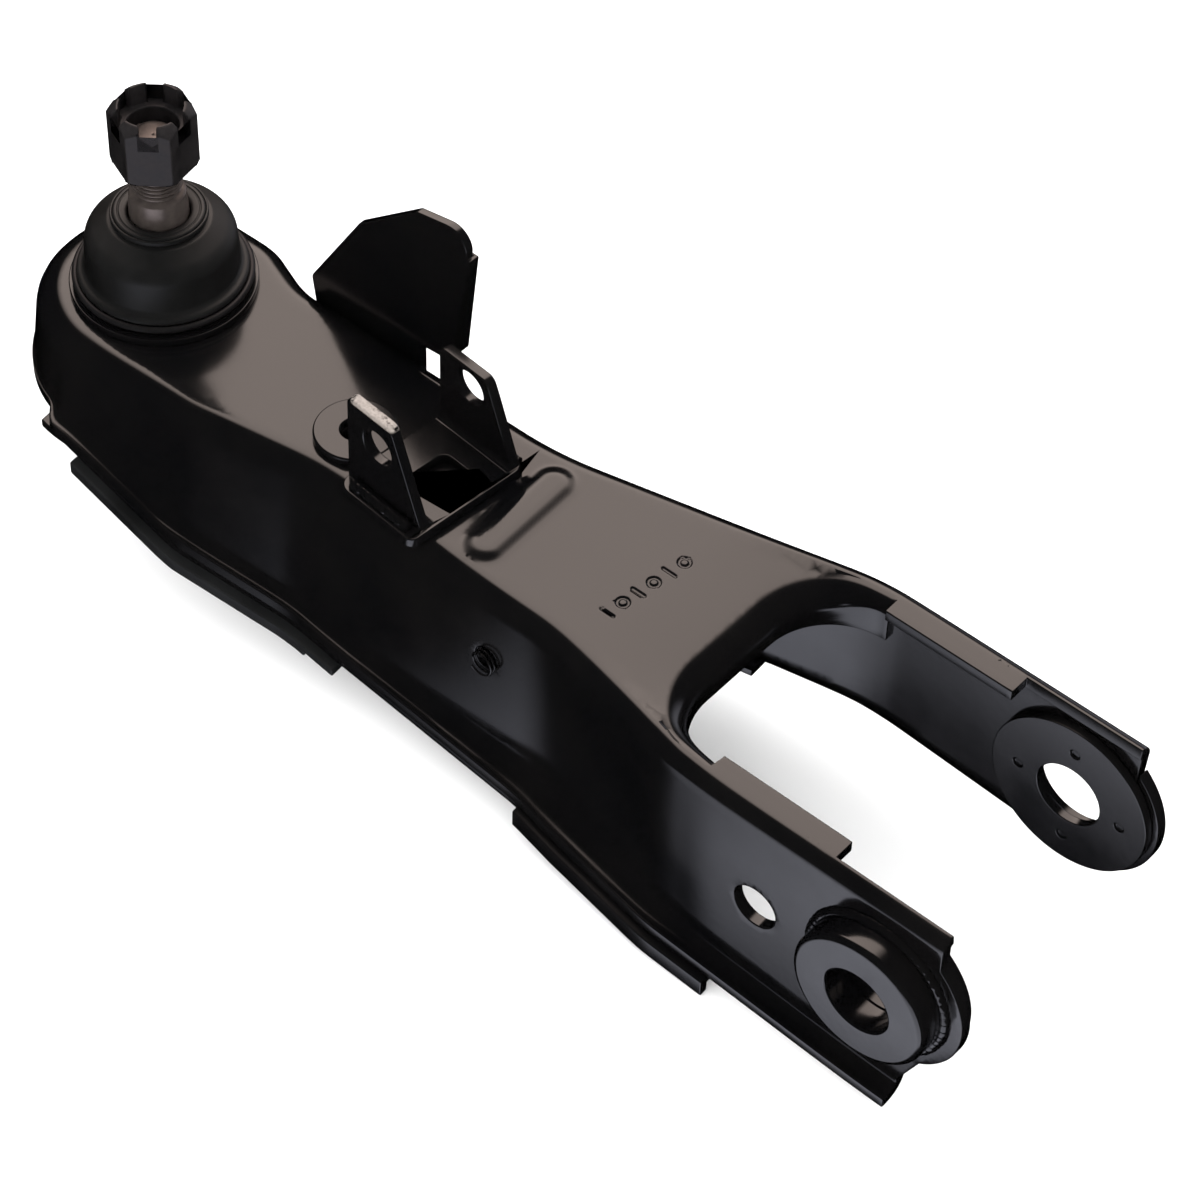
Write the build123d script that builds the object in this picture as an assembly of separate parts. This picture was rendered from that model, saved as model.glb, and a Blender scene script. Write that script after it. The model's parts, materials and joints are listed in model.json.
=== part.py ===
from build123d import *
import math
import os

# Lower control arm: two nested steel pressings with a pivot fork at one end and a sealed
# ball joint at the other, a U bracket for the shock absorber and a stop bracket beside it.
#
# Frame: millimetres, +Z up (the way the ball stud points), +X from the ball joint to the
# fork, +Y across the arm.  The origin is the middle of the fork's pivot axis, which runs
# along Y.  The side towards -Y is called near and the side towards +Y is called far.

# ---------------------------------------------------------------- driving dimensions
# arm as a whole
PIVOT_TO_BALL = 319.0          # along X, pivot axis to ball stud axis
BALL_OFFSET = -6.0             # ball stud axis off the middle of the fork, along Y
TOP_HEIGHT = 33.5              # pivot axis up to the top face of the arm
FORK_WIDTH = 96.0              # over the outside faces of the two ears
EAR_RADIUS = 29.5              # rounded end of each ear about the pivot axis

# sheet metal
SHEET = 4.0                    # upper pressing
LOWER_SHEET = 3.0              # lower pressing
BEND_RADIUS = 12.0             # outside of the fold between top and side walls
FLANGE = 6.0                   # outward flange along the foot of the side walls
SKIRT_REACH = 8.0              # skirt of the lower pressing, out from the side walls
SKIRT_DEPTH = 6.5              # and down from the foot flange

# body between the two ends
NEAR_WALL = 41.0               # arm axis to the near wall at mid length
FAR_WALL = 23.5                # arm axis to the far wall at mid length
PAN_RADIUS = 42.0              # ball stud axis to the round end and to its near wall
PAN_WIDTH = 80.0               # over the walls beside the ball joint
DEPTH_AT_BALL = 27.0           # top face down to the foot of the arm, ball joint end
DEPTH_AT_FORK = 72.0           # top face down to the foot of the arm, fork end
FOOT_TILT = 8.0                # degrees that the foot drops towards the near side

# notch between the ears
NOTCH_ROOT = 91.0              # pivot axis to the root of the notch
NOTCH_CORNER = 24.0            # corner radius of the notch root
LIP_DEPTH = 15.0               # turned-down lip round the notch root
TAB_WIDTH = 11.5               # top tab left along each ear, from the outside face
TAB_END = 21.0                 # pivot axis to the end of the tabs

# pivot hardware
BORE_RADIUS = 11.0             # pivot bolt bore
FAR_HOLE_RADIUS = 14.0         # clearance hole in the far ear, behind its thrust pad
COLLAR_RADIUS = 23.0
COLLAR_HEIGHT = 10.0
PAD_RADIUS = 27.5
PAD_THICKNESS = 3.0
WELD_LEG = 3.5

# ball joint
BALL_RADIUS = 15.0
SEAT_TOP = 15.0                # top of the bearing above the centre of the ball
SEAT_FOOT = 3.0                # bearing below the ball
SPRING_DROP = 6.0              # preload spring and cover plate below the ball
COVER_DROP = 9.0
HOUSING_FOOT = 11.0
BALL_DEPTH = 24.0              # top face down to the centre of the ball
BALL_FIT = 0.05                # ball in its seats, all round
SEAT_RADIUS = 20.0
SEAT_FIT = 0.05                # seats in the housing, all round
HOUSING_RADIUS = 26.0
HOUSING_FLANGE_RADIUS = 29.5
HOUSING_FLANGE = 2.5
NECK_RADIUS = 8.5
TILT_LIMIT = 22.0              # degrees of swing from upright
THREAD_RADIUS = 8.0            # M16
TAPER_TOP_RADIUS = 8.8
TAPER_FOOT_RADIUS = 10.2
NECK_TOP = 6.0                 # heights on the stud, above the top face
TAPER_FOOT = 15.0
STUD_TOP = 62.0
THREAD_FOOT = 38.5
NUT_FACE = 50.0                # underside of the nut
NUT_FLATS = 24.0               # across flats
NUT_HEIGHT = 22.0
NUT_SLOT_WIDTH = 5.2
NUT_SLOT_DEPTH = 7.5
NUT_CROWN_RADIUS = 9.8         # the bore opens to this between the prongs
NUT_TURN = -20.7               # degrees that the nut is turned on the stud
COTTER_RADIUS = 2.0

# dust boot
BOOT_RADIUS = 27.0
BOOT_HEIGHT = 28.0
BOOT_WALL = 2.4
BOOT_LIP_RADIUS = 14.2
BOOT_MOUTH_RADIUS = 9.7

# shock absorber bracket
BRACKET_X = -199.0             # middle of the bracket
BRACKET_Y = -12.0
BRACKET_SKEW = -5.0            # degrees that the bracket is turned about Z
BRACKET_GAP = 33.0             # clear width between its ears
BRACKET_SHEET = 3.5
BRACKET_EAR_HEIGHT = 36.5      # above the top face
BRACKET_EAR_FOOT = 33.0        # length of an ear at its foot
BRACKET_EAR_TOP = 19.0
BRACKET_FAR_DROP = 4.0         # the far ear is this much lower
BRACKET_BOLT_SHIFT = 3.5       # bolt off the middle of the near ear's top
BRACKET_BOLT_RADIUS = 6.0
BRACKET_BOLT_HEIGHT = 24.5     # above the top face
BRACKET_FOOT = 5.0             # base left outside the near ear
BRACKET_BEND = 2.5             # inside of the folds between base and ears
WINDOW_HOLE_X = 4.0            # hole in the top, off the middle of the bracket
WINDOW_HOLE_Y = 2.0
WASHER_X = -229.0
WASHER_Y = -15.0
WASHER_RADIUS = 13.0
WASHER_HOLE_RADIUS = 4.5
WASHER_HEIGHT = 3.0

# stop bracket on the far wall
STOP_SHEET = 3.0
STOP_HEIGHT = 62.5             # above the top face
STOP_RETURN = 10.0             # folded-back edge
STOP_FOOT = 31.0               # below the top face, against the far wall
STOP_START = 40.0              # its two ends, from the ball stud axis along X
STOP_END = 93.0
STOP_LEAN = 8.5                # the folded edge leans this far over its height

# oval bead across the top
BEAD_X = -171.0
BEAD_Y = -6.0
BEAD_LENGTH = 48.0
BEAD_WIDTH = 16.0
BEAD_HEIGHT = 1.6

# small features
FLANGE_START = -330.0          # the foot flange begins here on the near side
PLATE_OVERLAP = 38.0           # closing plate stops this far behind the root of the notch
SKIRT_END = -55.0              # its near leg and skirt end here
FAR_LEG_END = -112.0           # and its far leg here
DRAIN_RADIUS = 7.0
DRAIN_PITCH = 32.0
DRAIN_MIDDLE = -199.0
DOUBLER_START = 5.0            # doubler plate: from the ball stud axis along X
DOUBLER_END = 110.0
DOUBLER_REACH = 2.0            # past the foot flange
WEB_HOLE_RADIUS = 7.5
WEB_HOLE_X = -44.0
WEB_HOLE_Z = -5.0
SIDE_HOLE_X = -155.5
SIDE_HOLE_Z = 7.0
NUT_HOLE_RADIUS = 4.2          # tapping size, through the near wall and the weld nut behind it
NUT_RADIUS = 9.0
NUT_THICKNESS = 9.0
TOP_HOLE_RADIUS = 4.0          # two holes in the top, under the washer and in the bracket's window
FIT_GAP = 0.3                  # clearance left between round pieces that don't seat

# ---------------------------------------------------------------- worked out from them
BALL_X = -PIVOT_TO_BALL
EAR_Y = FORK_WIDTH / 2
BALL_Z = TOP_HEIGHT - BALL_DEPTH
FOOT_AT_BALL = TOP_HEIGHT - DEPTH_AT_BALL
FOOT_AT_FORK = TOP_HEIGHT - DEPTH_AT_FORK
PAN_END = BALL_X - PAN_RADIUS
NOTCH_Y = EAR_Y - TAB_WIDTH + 2.0
LONG = 2 * PIVOT_TO_BALL
BALL_AXIS = Location((BALL_X, BALL_OFFSET, 0))
FLANGE_TOP = TOP_HEIGHT + HOUSING_FLANGE
NUT_CORNER = NUT_FLATS / math.sqrt(3)


# ---------------------------------------------------------------- helpers
def rounded_wire(corners):
    """Closed outline through (x, y, radius) corners; radius 0 is a sharp corner."""
    edges = []
    ends = []
    count = len(corners)
    for index, (x, y, radius) in enumerate(corners):
        here = Vector(x, y)
        back = (Vector(*corners[index - 1][:2]) - here).normalized()
        ahead = (Vector(*corners[(index + 1) % count][:2]) - here).normalized()
        if radius == 0:
            ends.append((here, here, here))
            continue
        half = math.radians(back.get_angle(ahead)) / 2
        reach = radius / math.tan(half)
        middle = here + (back + ahead).normalized() * (radius / math.sin(half) - radius)
        ends.append((here + back * reach, middle, here + ahead * reach))
    for index, (start, middle, stop) in enumerate(ends):
        if (start - stop).length > 1e-6:
            edges.append(ThreePointArc(start, middle, stop))
        following = ends[(index + 1) % count][0]
        if (following - stop).length > 1e-6:
            edges.append(Line(stop, following))
    return Wire(edges)


def plan_prism(corners, z_low, z_high, grow=0.0):
    """Upright prism on a rounded outline seen from above, grown or shrunk sideways."""
    face = make_face(rounded_wire(corners).edges())
    if grow:
        face = offset(face, grow).face()
    return Pos(0, 0, z_low) * extrude(face, z_high - z_low)


def side_prism(corners, y_low, y_high):
    """Prism across the arm on a rounded outline of (x, z, radius) corners."""
    face = Plane.XZ * make_face(rounded_wire(corners).edges())
    return Pos(0, y_high, 0) * extrude(face, y_high - y_low)


def turned(points, axis=BALL_AXIS):
    """Solid of revolution about an upright axis from (radius, z) points."""
    face = Plane.XZ * make_face(Polyline(*points, close=True).edges())
    return axis * revolve(face, Axis.Z)


def tube(outer, inner, z_low, z_high, axis=BALL_AXIS):
    """Plain ring about an upright axis."""
    return turned([(inner, z_low), (outer, z_low), (outer, z_high), (inner, z_high)], axis)


def across(radius, y_low, y_high, x=0.0, z=0.0):
    """Cylinder whose axis runs across the arm."""
    return Pos(x, (y_low + y_high) / 2, z) * Rot(90, 0, 0) * Cylinder(radius, y_high - y_low)


def block(x_low, x_high, y_low, y_high, z_low, z_high):
    """Box between two corners."""
    size = (x_high - x_low, y_high - y_low, z_high - z_low)
    middle = ((x_low + x_high) / 2, (y_low + y_high) / 2, (z_low + z_high) / 2)
    return Pos(*middle) * Box(*size)


def cone_radius(height):
    """Opening radius that clears the stud's neck at full tilt, above the ball centre."""
    tilt = math.radians(TILT_LIMIT + 1.0)
    return NECK_RADIUS / math.cos(tilt) + height * math.tan(tilt)


# ---------------------------------------------------------------- outlines
def body_outline():
    """Outside of the side walls from above; runs past the ear ends."""
    near_pan = BALL_OFFSET - PAN_RADIUS
    far_pan = near_pan + PAN_WIDTH
    pan_round = PAN_WIDTH / 2 - 0.5
    past = 2 * EAR_RADIUS
    return [
        (past, -EAR_Y, 0),
        (-NOTCH_ROOT + 12, -EAR_Y, 70),
        (-NOTCH_ROOT - 45, -NEAR_WALL, 90),
        (BALL_X + 90, -NEAR_WALL, 90),
        (BALL_X + 45, near_pan, 60),
        (PAN_END, near_pan, pan_round),
        (PAN_END, far_pan, pan_round),
        (BALL_X + 14, far_pan, 26),
        (BALL_X + 34, FAR_WALL, 30),
        (BALL_X + 138, FAR_WALL, 120),
        (-NOTCH_ROOT + 16, EAR_Y, 90),
        (past, EAR_Y, 0),
    ]


def foot_line(drop=0.0):
    """Foot of the arm along its middle, from the side, ball joint end first."""
    fall = FOOT_AT_BALL - FOOT_AT_FORK
    stations = [
        (-LONG, 0.0),
        (BALL_X, 0.0),
        (0.85 * BALL_X, 0.34),
        (0.66 * BALL_X, 0.58),
        (0.37 * BALL_X, 0.84),
        (0.0, 1.0),
        (LONG, 1.0),
    ]
    return [(x, FOOT_AT_BALL - share * fall - drop) for x, share in stations]


def side_outline():
    """The arm from the side: level top, rounded ear ends, foot cut off well below."""
    corner_x = EAR_RADIUS * 0.67
    corner_z = math.sqrt(EAR_RADIUS ** 2 - corner_x ** 2)
    heel_x = EAR_RADIUS * 0.58
    heel_z = -math.sqrt(EAR_RADIUS ** 2 - heel_x ** 2)
    toe_x = EAR_RADIUS * 0.36
    points = [
        (corner_x, corner_z),
        (corner_x, TOP_HEIGHT),
        (-LONG, TOP_HEIGHT),
        (-LONG, -LONG),
        (toe_x, -LONG),
        (toe_x, FOOT_AT_FORK + FLANGE),
        (heel_x, heel_z),
    ]
    straight = Polyline(*points)
    rounding = ThreePointArc((heel_x, heel_z), (EAR_RADIUS, 0), (corner_x, corner_z))
    return make_face([*straight.edges(), rounding])


def side_slab(face):
    """The whole width of the arm on a side-view face."""
    return Pos(0, LONG / 2, 0) * extrude(Plane.XZ * face, LONG)


def above_foot(drop=0.0):
    """Everything above the tilted foot, or above that foot lowered by drop."""
    face = make_face(Polyline(*foot_line(drop), (LONG, LONG), (-LONG, LONG), close=True))
    return Rot(FOOT_TILT, 0, 0) * side_slab(face)


def foot_band(low, high):
    """Slab that follows the foot line, from low to high above it."""
    return above_foot(-low) - above_foot(-high)


def fork_hardware(half, side):
    """Turns a solid drawn about +Y at the far ear into the one for the wanted side."""
    return half if side > 0 else mirror(half, Plane.XZ)


# ---------------------------------------------------------------- the two pressings
def notch_outline():
    """Free opening between the ears, seen from above."""
    past = 2 * EAR_RADIUS
    return [
        (-NOTCH_ROOT, -NOTCH_Y, NOTCH_CORNER),
        (past, -NOTCH_Y, 0),
        (past, NOTCH_Y, 0),
        (-NOTCH_ROOT, NOTCH_Y, NOTCH_CORNER),
    ]


def flange_ring(reach, inner_reach):
    """Upright band round the outline between two reaches, left off the round pan end."""
    outline = body_outline()
    ring = plan_prism(outline, -LONG, LONG / 2, grow=reach)
    ring -= plan_prism(outline, -LONG, LONG / 2, grow=inner_reach)
    near = block(FLANGE_START, LONG, -LONG, 0, -LONG, LONG)
    far = block(FLANGE_START + PAN_RADIUS, LONG, 0, LONG, -LONG, LONG)
    return (ring & near) + (ring & far)


def top_bead(height, shrink):
    """Oval bead pressed up across the top, in front of the shock absorber bracket."""
    half = BEAD_WIDTH / 2 - shrink
    length = BEAD_LENGTH - 2 * shrink
    slot = extrude(SlotOverall(length, 2 * half), height + SHEET)
    slot = fillet(slot.faces().sort_by(Axis.Z)[-1].outer_wire().edges(), height)
    place = Pos(BEAD_X, BEAD_Y, TOP_HEIGHT - SHEET - shrink) * Rot(0, 0, 90 - BRACKET_SKEW / 2)
    return place * slot


def upper_pressing():
    """Inverted channel with ears, notch lip, foot flange and its holes."""
    outline = body_outline()
    outside = plan_prism(outline, -LONG, TOP_HEIGHT)
    outside = fillet(outside.faces().sort_by(Axis.Z)[-1].outer_wire().edges(), BEND_RADIUS)
    inside = plan_prism(outline, -LONG, TOP_HEIGHT - SHEET, grow=-SHEET)
    inside = fillet(inside.faces().sort_by(Axis.Z)[-1].outer_wire().edges(), BEND_RADIUS - SHEET)
    skin = (outside - inside) & above_foot()
    skin += flange_ring(FLANGE, -SHEET / 2) & foot_band(0, SHEET)

    skin += top_bead(BEAD_HEIGHT, 0)
    skin -= top_bead(BEAD_HEIGHT, SHEET - BEAD_HEIGHT)

    # notch: open the top, then turn a lip down round its root
    lip_outside = plan_prism(notch_outline(), TOP_HEIGHT - LIP_DEPTH, TOP_HEIGHT - SHEET / 2, grow=SHEET)
    lip_clip = block(-LONG, -NOTCH_ROOT + NOTCH_CORNER + SHEET, -LONG, LONG, -LONG, LONG)
    skin += lip_outside & lip_clip
    opening = plan_prism(notch_outline(), -LONG, LONG)
    skin -= opening & block(-LONG, -NOTCH_ROOT + NOTCH_CORNER + SHEET, -LONG, LONG, -LONG, LONG)
    tab_y = EAR_Y - TAB_WIDTH
    roof = TOP_HEIGHT - BEND_RADIUS
    skin -= block(-NOTCH_ROOT + NOTCH_CORNER, LONG, -tab_y, tab_y, roof, LONG)
    bend_y = EAR_Y - SHEET - 1.5
    skin -= block(-TAB_END, LONG, -bend_y, bend_y, roof, LONG)

    skin &= side_slab(side_outline())

    # ball housing, pivot bolt, web hole, side hole and drain holes
    skin -= BALL_AXIS * Pos(0, 0, TOP_HEIGHT) * Cylinder(HOUSING_RADIUS + FIT_GAP, 2 * BEND_RADIUS)
    skin -= across(BORE_RADIUS, -LONG, 0)
    skin -= across(FAR_HOLE_RADIUS, 0, LONG)
    inner_y = EAR_Y - SHEET
    skin -= across(PAD_RADIUS + FIT_GAP, -inner_y, inner_y)
    skin -= across(WEB_HOLE_RADIUS, -LONG, 0, WEB_HOLE_X, WEB_HOLE_Z)
    skin -= across(NUT_HOLE_RADIUS, -LONG, 0, SIDE_HOLE_X, SIDE_HOLE_Z)
    for x, y in ((BRACKET_X + WINDOW_HOLE_X, BRACKET_Y + WINDOW_HOLE_Y), (WASHER_X, WASHER_Y)):
        skin -= Pos(x, y, TOP_HEIGHT) * Cylinder(TOP_HOLE_RADIUS, 4 * SHEET)
    return skin


def lower_pressing():
    """Closing plate under the foot flange; its two legs run on under the ears with a skirt."""
    plate_end = -NOTCH_ROOT - PLATE_OVERLAP
    outline = body_outline()
    under = foot_band(-LOWER_SHEET, 0)
    plate = plan_prism(outline, -LONG, LONG / 2, grow=-SHEET / 2) & under
    plate += flange_ring(FLANGE - 1.0, -SHEET) & under
    past_plate = block(plate_end, LONG, -LONG, LONG, -LONG, LONG)
    plate -= plan_prism(outline, -LONG, LONG / 2, grow=-SHEET) & past_plate
    plate &= block(-LONG, SKIRT_END, -LONG, LONG, -LONG, LONG)
    wide = plan_prism(outline, -LONG, LONG / 2, grow=SKIRT_REACH)
    skirt_start = plate_end - 6.0
    legs = block(skirt_start, SKIRT_END, -LONG, LONG, -LONG, LONG)
    ledge = (wide - plan_prism(outline, -LONG, LONG / 2, grow=-SHEET)) & under & legs
    skirt = wide - plan_prism(outline, -LONG, LONG / 2, grow=SKIRT_REACH - LOWER_SHEET)
    skirt = skirt & foot_band(-SKIRT_DEPTH, 0) & legs
    plate += ledge
    plate += skirt
    plate -= block(FAR_LEG_END, LONG, 0, LONG, -LONG, LONG)
    plate -= BALL_AXIS * Cylinder(HOUSING_RADIUS + 3.0, LONG)
    for step in (-1, 0, 1):
        plate -= Pos(DRAIN_MIDDLE + DRAIN_PITCH * step, (FAR_WALL - NEAR_WALL) / 2, 0) * Cylinder(DRAIN_RADIUS, LONG)
    return plate


def reinforcement_plate():
    """Doubler under the near edge at the ball joint end, its near edge curled down."""
    x_low = BALL_X + DOUBLER_START
    x_high = BALL_X + DOUBLER_END
    reach = FLANGE + DOUBLER_REACH
    grown = plan_prism(body_outline(), -LONG, LONG / 2, grow=reach)
    plate = grown & foot_band(-2 * LOWER_SHEET, -LOWER_SHEET)
    clip = plan_prism([
        (x_low, -LONG, 0), (x_high, -LONG, 0), (x_high, BALL_OFFSET - 20, 18), (x_low, BALL_OFFSET - 28, 6),
    ], -LONG, LONG)
    lip = grown - plan_prism(body_outline(), -LONG, LONG / 2, grow=reach - LOWER_SHEET)
    lip = lip & foot_band(-2.6 * LOWER_SHEET, -LOWER_SHEET)
    lip &= block(x_low, x_high - 12, -LONG, BALL_OFFSET, -LONG, LONG)
    plate = (plate & clip) + lip
    plate -= BALL_AXIS * Cylinder(HOUSING_RADIUS + 4.0, LONG)
    for x in (x_low + 26, x_high - 44, x_high - 22):
        plate -= Pos(x, -NEAR_WALL + 10, 0) * Cylinder(3.5, LONG)
    return plate


# ---------------------------------------------------------------- pivot hardware
def pivot_collar():
    """Thick ring welded on the outside of the near ear."""
    ring = across(COLLAR_RADIUS, EAR_Y, EAR_Y + COLLAR_HEIGHT)
    ring = chamfer(ring.edges().filter_by(GeomType.CIRCLE).sort_by(Axis.Y)[-1], 1.2)
    return mirror(ring - across(BORE_RADIUS, 0, LONG), Plane.XZ)


def pivot_pad(side):
    """Flat round thrust pad on the inside of an ear, with four projection dimples."""
    inside = EAR_Y - SHEET
    pad = across(PAD_RADIUS, inside - PAD_THICKNESS, inside)
    pad -= across(BORE_RADIUS, 0, LONG)
    for turn in (0, 90, 180, 270):
        x = 0.66 * PAD_RADIUS * math.cos(math.radians(turn))
        z = 0.66 * PAD_RADIUS * math.sin(math.radians(turn))
        pad -= across(1.6, inside - PAD_THICKNESS - 1, inside - PAD_THICKNESS + 0.8, x, z)
    return fork_hardware(pad, side)


def collar_weld():
    """Fillet weld round the foot of the collar."""
    face = Plane.XY * make_face(Polyline(
        (COLLAR_RADIUS, EAR_Y), (COLLAR_RADIUS + WELD_LEG, EAR_Y),
        (COLLAR_RADIUS, EAR_Y + WELD_LEG), close=True).edges())
    return mirror(revolve(face, Axis.Y), Plane.XZ)


def weld_nut():
    """Nut welded behind the side hole of the near wall."""
    wall = -NEAR_WALL + SHEET
    nut = across(NUT_RADIUS, wall, wall + NUT_THICKNESS, SIDE_HOLE_X, SIDE_HOLE_Z)
    return nut - across(NUT_HOLE_RADIUS, -LONG, LONG, SIDE_HOLE_X, SIDE_HOLE_Z)


# ---------------------------------------------------------------- shock absorber bracket
BRACKET_PLACE = Location((BRACKET_X, BRACKET_Y, TOP_HEIGHT), (0, 0, BRACKET_SKEW))


def bracket_ear(side):
    """One ear in the bracket's own frame: upright on the ball joint side, slanted the other."""
    inner = BRACKET_GAP / 2
    half_foot = BRACKET_EAR_FOOT / 2
    slant = (BRACKET_EAR_FOOT - BRACKET_EAR_TOP) / BRACKET_EAR_HEIGHT
    drop = BRACKET_FAR_DROP if side > 0 else 0.0
    outline = rounded_wire([
        (-half_foot, 0, 0),
        (half_foot, 0, 0),
        (-half_foot + BRACKET_EAR_TOP + slant * drop, BRACKET_EAR_HEIGHT - drop, 3.5),
        (-half_foot, BRACKET_EAR_HEIGHT - drop, 2.5),
    ])
    ear = extrude(Plane.XZ * make_face(outline.edges()), BRACKET_SHEET)
    bolt_x = -half_foot + BRACKET_EAR_TOP / 2 + BRACKET_BOLT_SHIFT
    ear -= across(BRACKET_BOLT_RADIUS, -LONG, LONG, bolt_x, BRACKET_BOLT_HEIGHT)
    return Pos(0, inner + BRACKET_SHEET if side > 0 else -inner, 0) * ear


def shock_bracket():
    """Base with a window, two ears and a foot outside the near ear."""
    half_foot = BRACKET_EAR_FOOT / 2
    outer = BRACKET_GAP / 2 + BRACKET_SHEET
    base = plan_prism([
        (-half_foot, -outer - BRACKET_FOOT, 5),
        (half_foot, -outer - BRACKET_FOOT, 3),
        (half_foot, outer, 3),
        (-half_foot, outer, 3),
    ], 0, BRACKET_SHEET)
    base -= plan_prism([(-4, -9, 3), (11, -9, 3), (11, 7, 3), (-4, 7, 3)], -1, LONG)
    bracket = base + bracket_ear(1) + bracket_ear(-1)
    folds = bracket.edges().filter_by(Axis.X).filter_by(
        lambda edge: abs(abs(edge.center().Y) - BRACKET_GAP / 2) < 0.1
        and abs(edge.center().Z - BRACKET_SHEET) < 0.1)
    return BRACKET_PLACE * fillet(folds, BRACKET_BEND)


def bracket_washer():
    """Raised round ring beside the near ear, over its own hole in the top."""
    ring = Pos(WASHER_X, WASHER_Y, TOP_HEIGHT + WASHER_HEIGHT / 2) * Cylinder(WASHER_RADIUS, WASHER_HEIGHT)
    return ring - Pos(WASHER_X, WASHER_Y, TOP_HEIGHT) * Cylinder(WASHER_HOLE_RADIUS, LONG)


def straight_weld(length, leg):
    """Fillet weld along +X with its right angle at the origin, rising in +Z, lying in -Y."""
    face = Plane.YZ * make_face(Polyline((0, 0), (-leg, 0), (0, leg), close=True).edges())
    return extrude(face, length)


def bracket_weld(side):
    """Bead along the outer foot of a bracket ear."""
    length = BRACKET_EAR_FOOT - 8.0
    outer = BRACKET_GAP / 2 + BRACKET_SHEET
    bead = Pos(-length / 2, 0, 0) * straight_weld(length, WELD_LEG)
    if side > 0:
        return BRACKET_PLACE * Pos(0, outer, 0) * mirror(bead, Plane.XZ)
    return BRACKET_PLACE * Pos(0, -outer, BRACKET_SHEET) * bead


# ---------------------------------------------------------------- stop bracket
def stop_bracket():
    """Flag-shaped plate standing against the far wall, one edge folded back."""
    left = BALL_X + STOP_START
    fold_foot = BALL_X + STOP_END
    fold_top = fold_foot + STOP_LEAN
    low = TOP_HEIGHT - STOP_FOOT
    high = TOP_HEIGHT + STOP_HEIGHT
    flag = [
        (left, low, 4),
        (left - 5, TOP_HEIGHT + 4, 3),
        (left + 16, TOP_HEIGHT + 0.62 * STOP_HEIGHT, 2),
        (left + 40, high - 4, 2),
        (fold_top, high, 7),
        (fold_foot, TOP_HEIGHT + 5, 2),
        (fold_foot - 12, TOP_HEIGHT + 4, 2),
        (fold_foot - 12, low, 4),
    ]
    plate = side_prism(flag, FAR_WALL, FAR_WALL + STOP_SHEET)
    fold = [
        (fold_foot, TOP_HEIGHT + 5, 0),
        (fold_top, high - 11, 0),
        (fold_top - STOP_SHEET, high - 11, 0),
        (fold_foot - STOP_SHEET, TOP_HEIGHT + 5, 0),
    ]
    outer = FAR_WALL + STOP_SHEET
    back = side_prism(fold, FAR_WALL, outer + STOP_RETURN)
    trim = Plane.YZ * make_face(Polyline(
        (outer, high), (LONG, high), (LONG, 0), (outer + STOP_RETURN, 0), close=True).edges())
    back -= Pos(-LONG, 0, 0) * extrude(trim, 2 * LONG)
    return plate + back


def stop_weld():
    """Bead along the foot of the stop bracket, on the far wall."""
    low = TOP_HEIGHT - STOP_FOOT
    start = BALL_X + STOP_START + 6
    length = STOP_END - STOP_START - 24
    face = Plane.YZ * make_face(Polyline(
        (FAR_WALL, low), (FAR_WALL + STOP_SHEET, low), (FAR_WALL, low - STOP_SHEET), close=True).edges())
    return Pos(start, 0, 0) * extrude(face, length)


# ---------------------------------------------------------------- ball joint
def ball_housing():
    """Forged cup pressed up through the pan, with a flange, a shoulder and a rolled foot."""
    foot = BALL_Z - BALL_RADIUS - HOUSING_FOOT
    shoulder = BALL_Z + SEAT_TOP
    bore = SEAT_RADIUS + SEAT_FIT
    points = [
        (bore, foot),
        (HOUSING_RADIUS, foot),
        (HOUSING_RADIUS, TOP_HEIGHT),
        (HOUSING_FLANGE_RADIUS, TOP_HEIGHT),
        (HOUSING_FLANGE_RADIUS, FLANGE_TOP),
        (cone_radius(FLANGE_TOP - BALL_Z) + 0.5, FLANGE_TOP),
        (cone_radius(SEAT_TOP) + 0.5, shoulder),
        (bore, shoulder),
    ]
    return turned(points)


def seat_blank(low, high):
    """Solid seat cylinder with the ball's pocket in it."""
    blank = BALL_AXIS * Pos(0, 0, (low + high) / 2) * Cylinder(SEAT_RADIUS, high - low)
    return blank - BALL_AXIS * Pos(0, 0, BALL_Z) * Sphere(BALL_RADIUS + BALL_FIT)


def bearing_seat_upper():
    """Upper half of the polymer bearing, open to the stud's cone of movement."""
    top = BALL_Z + SEAT_TOP
    past = SEAT_TOP + 1.0
    cone = turned([
        (0, BALL_Z), (cone_radius(0), BALL_Z), (cone_radius(past), BALL_Z + past), (0, BALL_Z + past),
    ])
    return seat_blank(BALL_Z + 0.5, top - 0.1) - cone


def bearing_seat_lower():
    """Lower half of the bearing, pushed up by the preload spring."""
    return seat_blank(BALL_Z - BALL_RADIUS - SEAT_FOOT, BALL_Z - 0.5)


def preload_spring():
    """Dished spring washer under the lower seat."""
    low = BALL_Z - BALL_RADIUS - SPRING_DROP
    return turned([(9.0, low + 1.7), (9.0, low + 2.9), (18.5, low + 1.3), (18.5, low + 0.1)])


def cover_plate():
    """Pressed disc that closes the housing from below."""
    low = BALL_Z - BALL_RADIUS - COVER_DROP
    disc = turned([
        (0, low - 1.0), (10.0, low - 1.0), (12.5, low), (SEAT_RADIUS, low),
        (SEAT_RADIUS, low + 3.0), (11.5, low + 3.0), (9.0, low + 1.6), (0, low + 1.6),
    ])
    return disc


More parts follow.
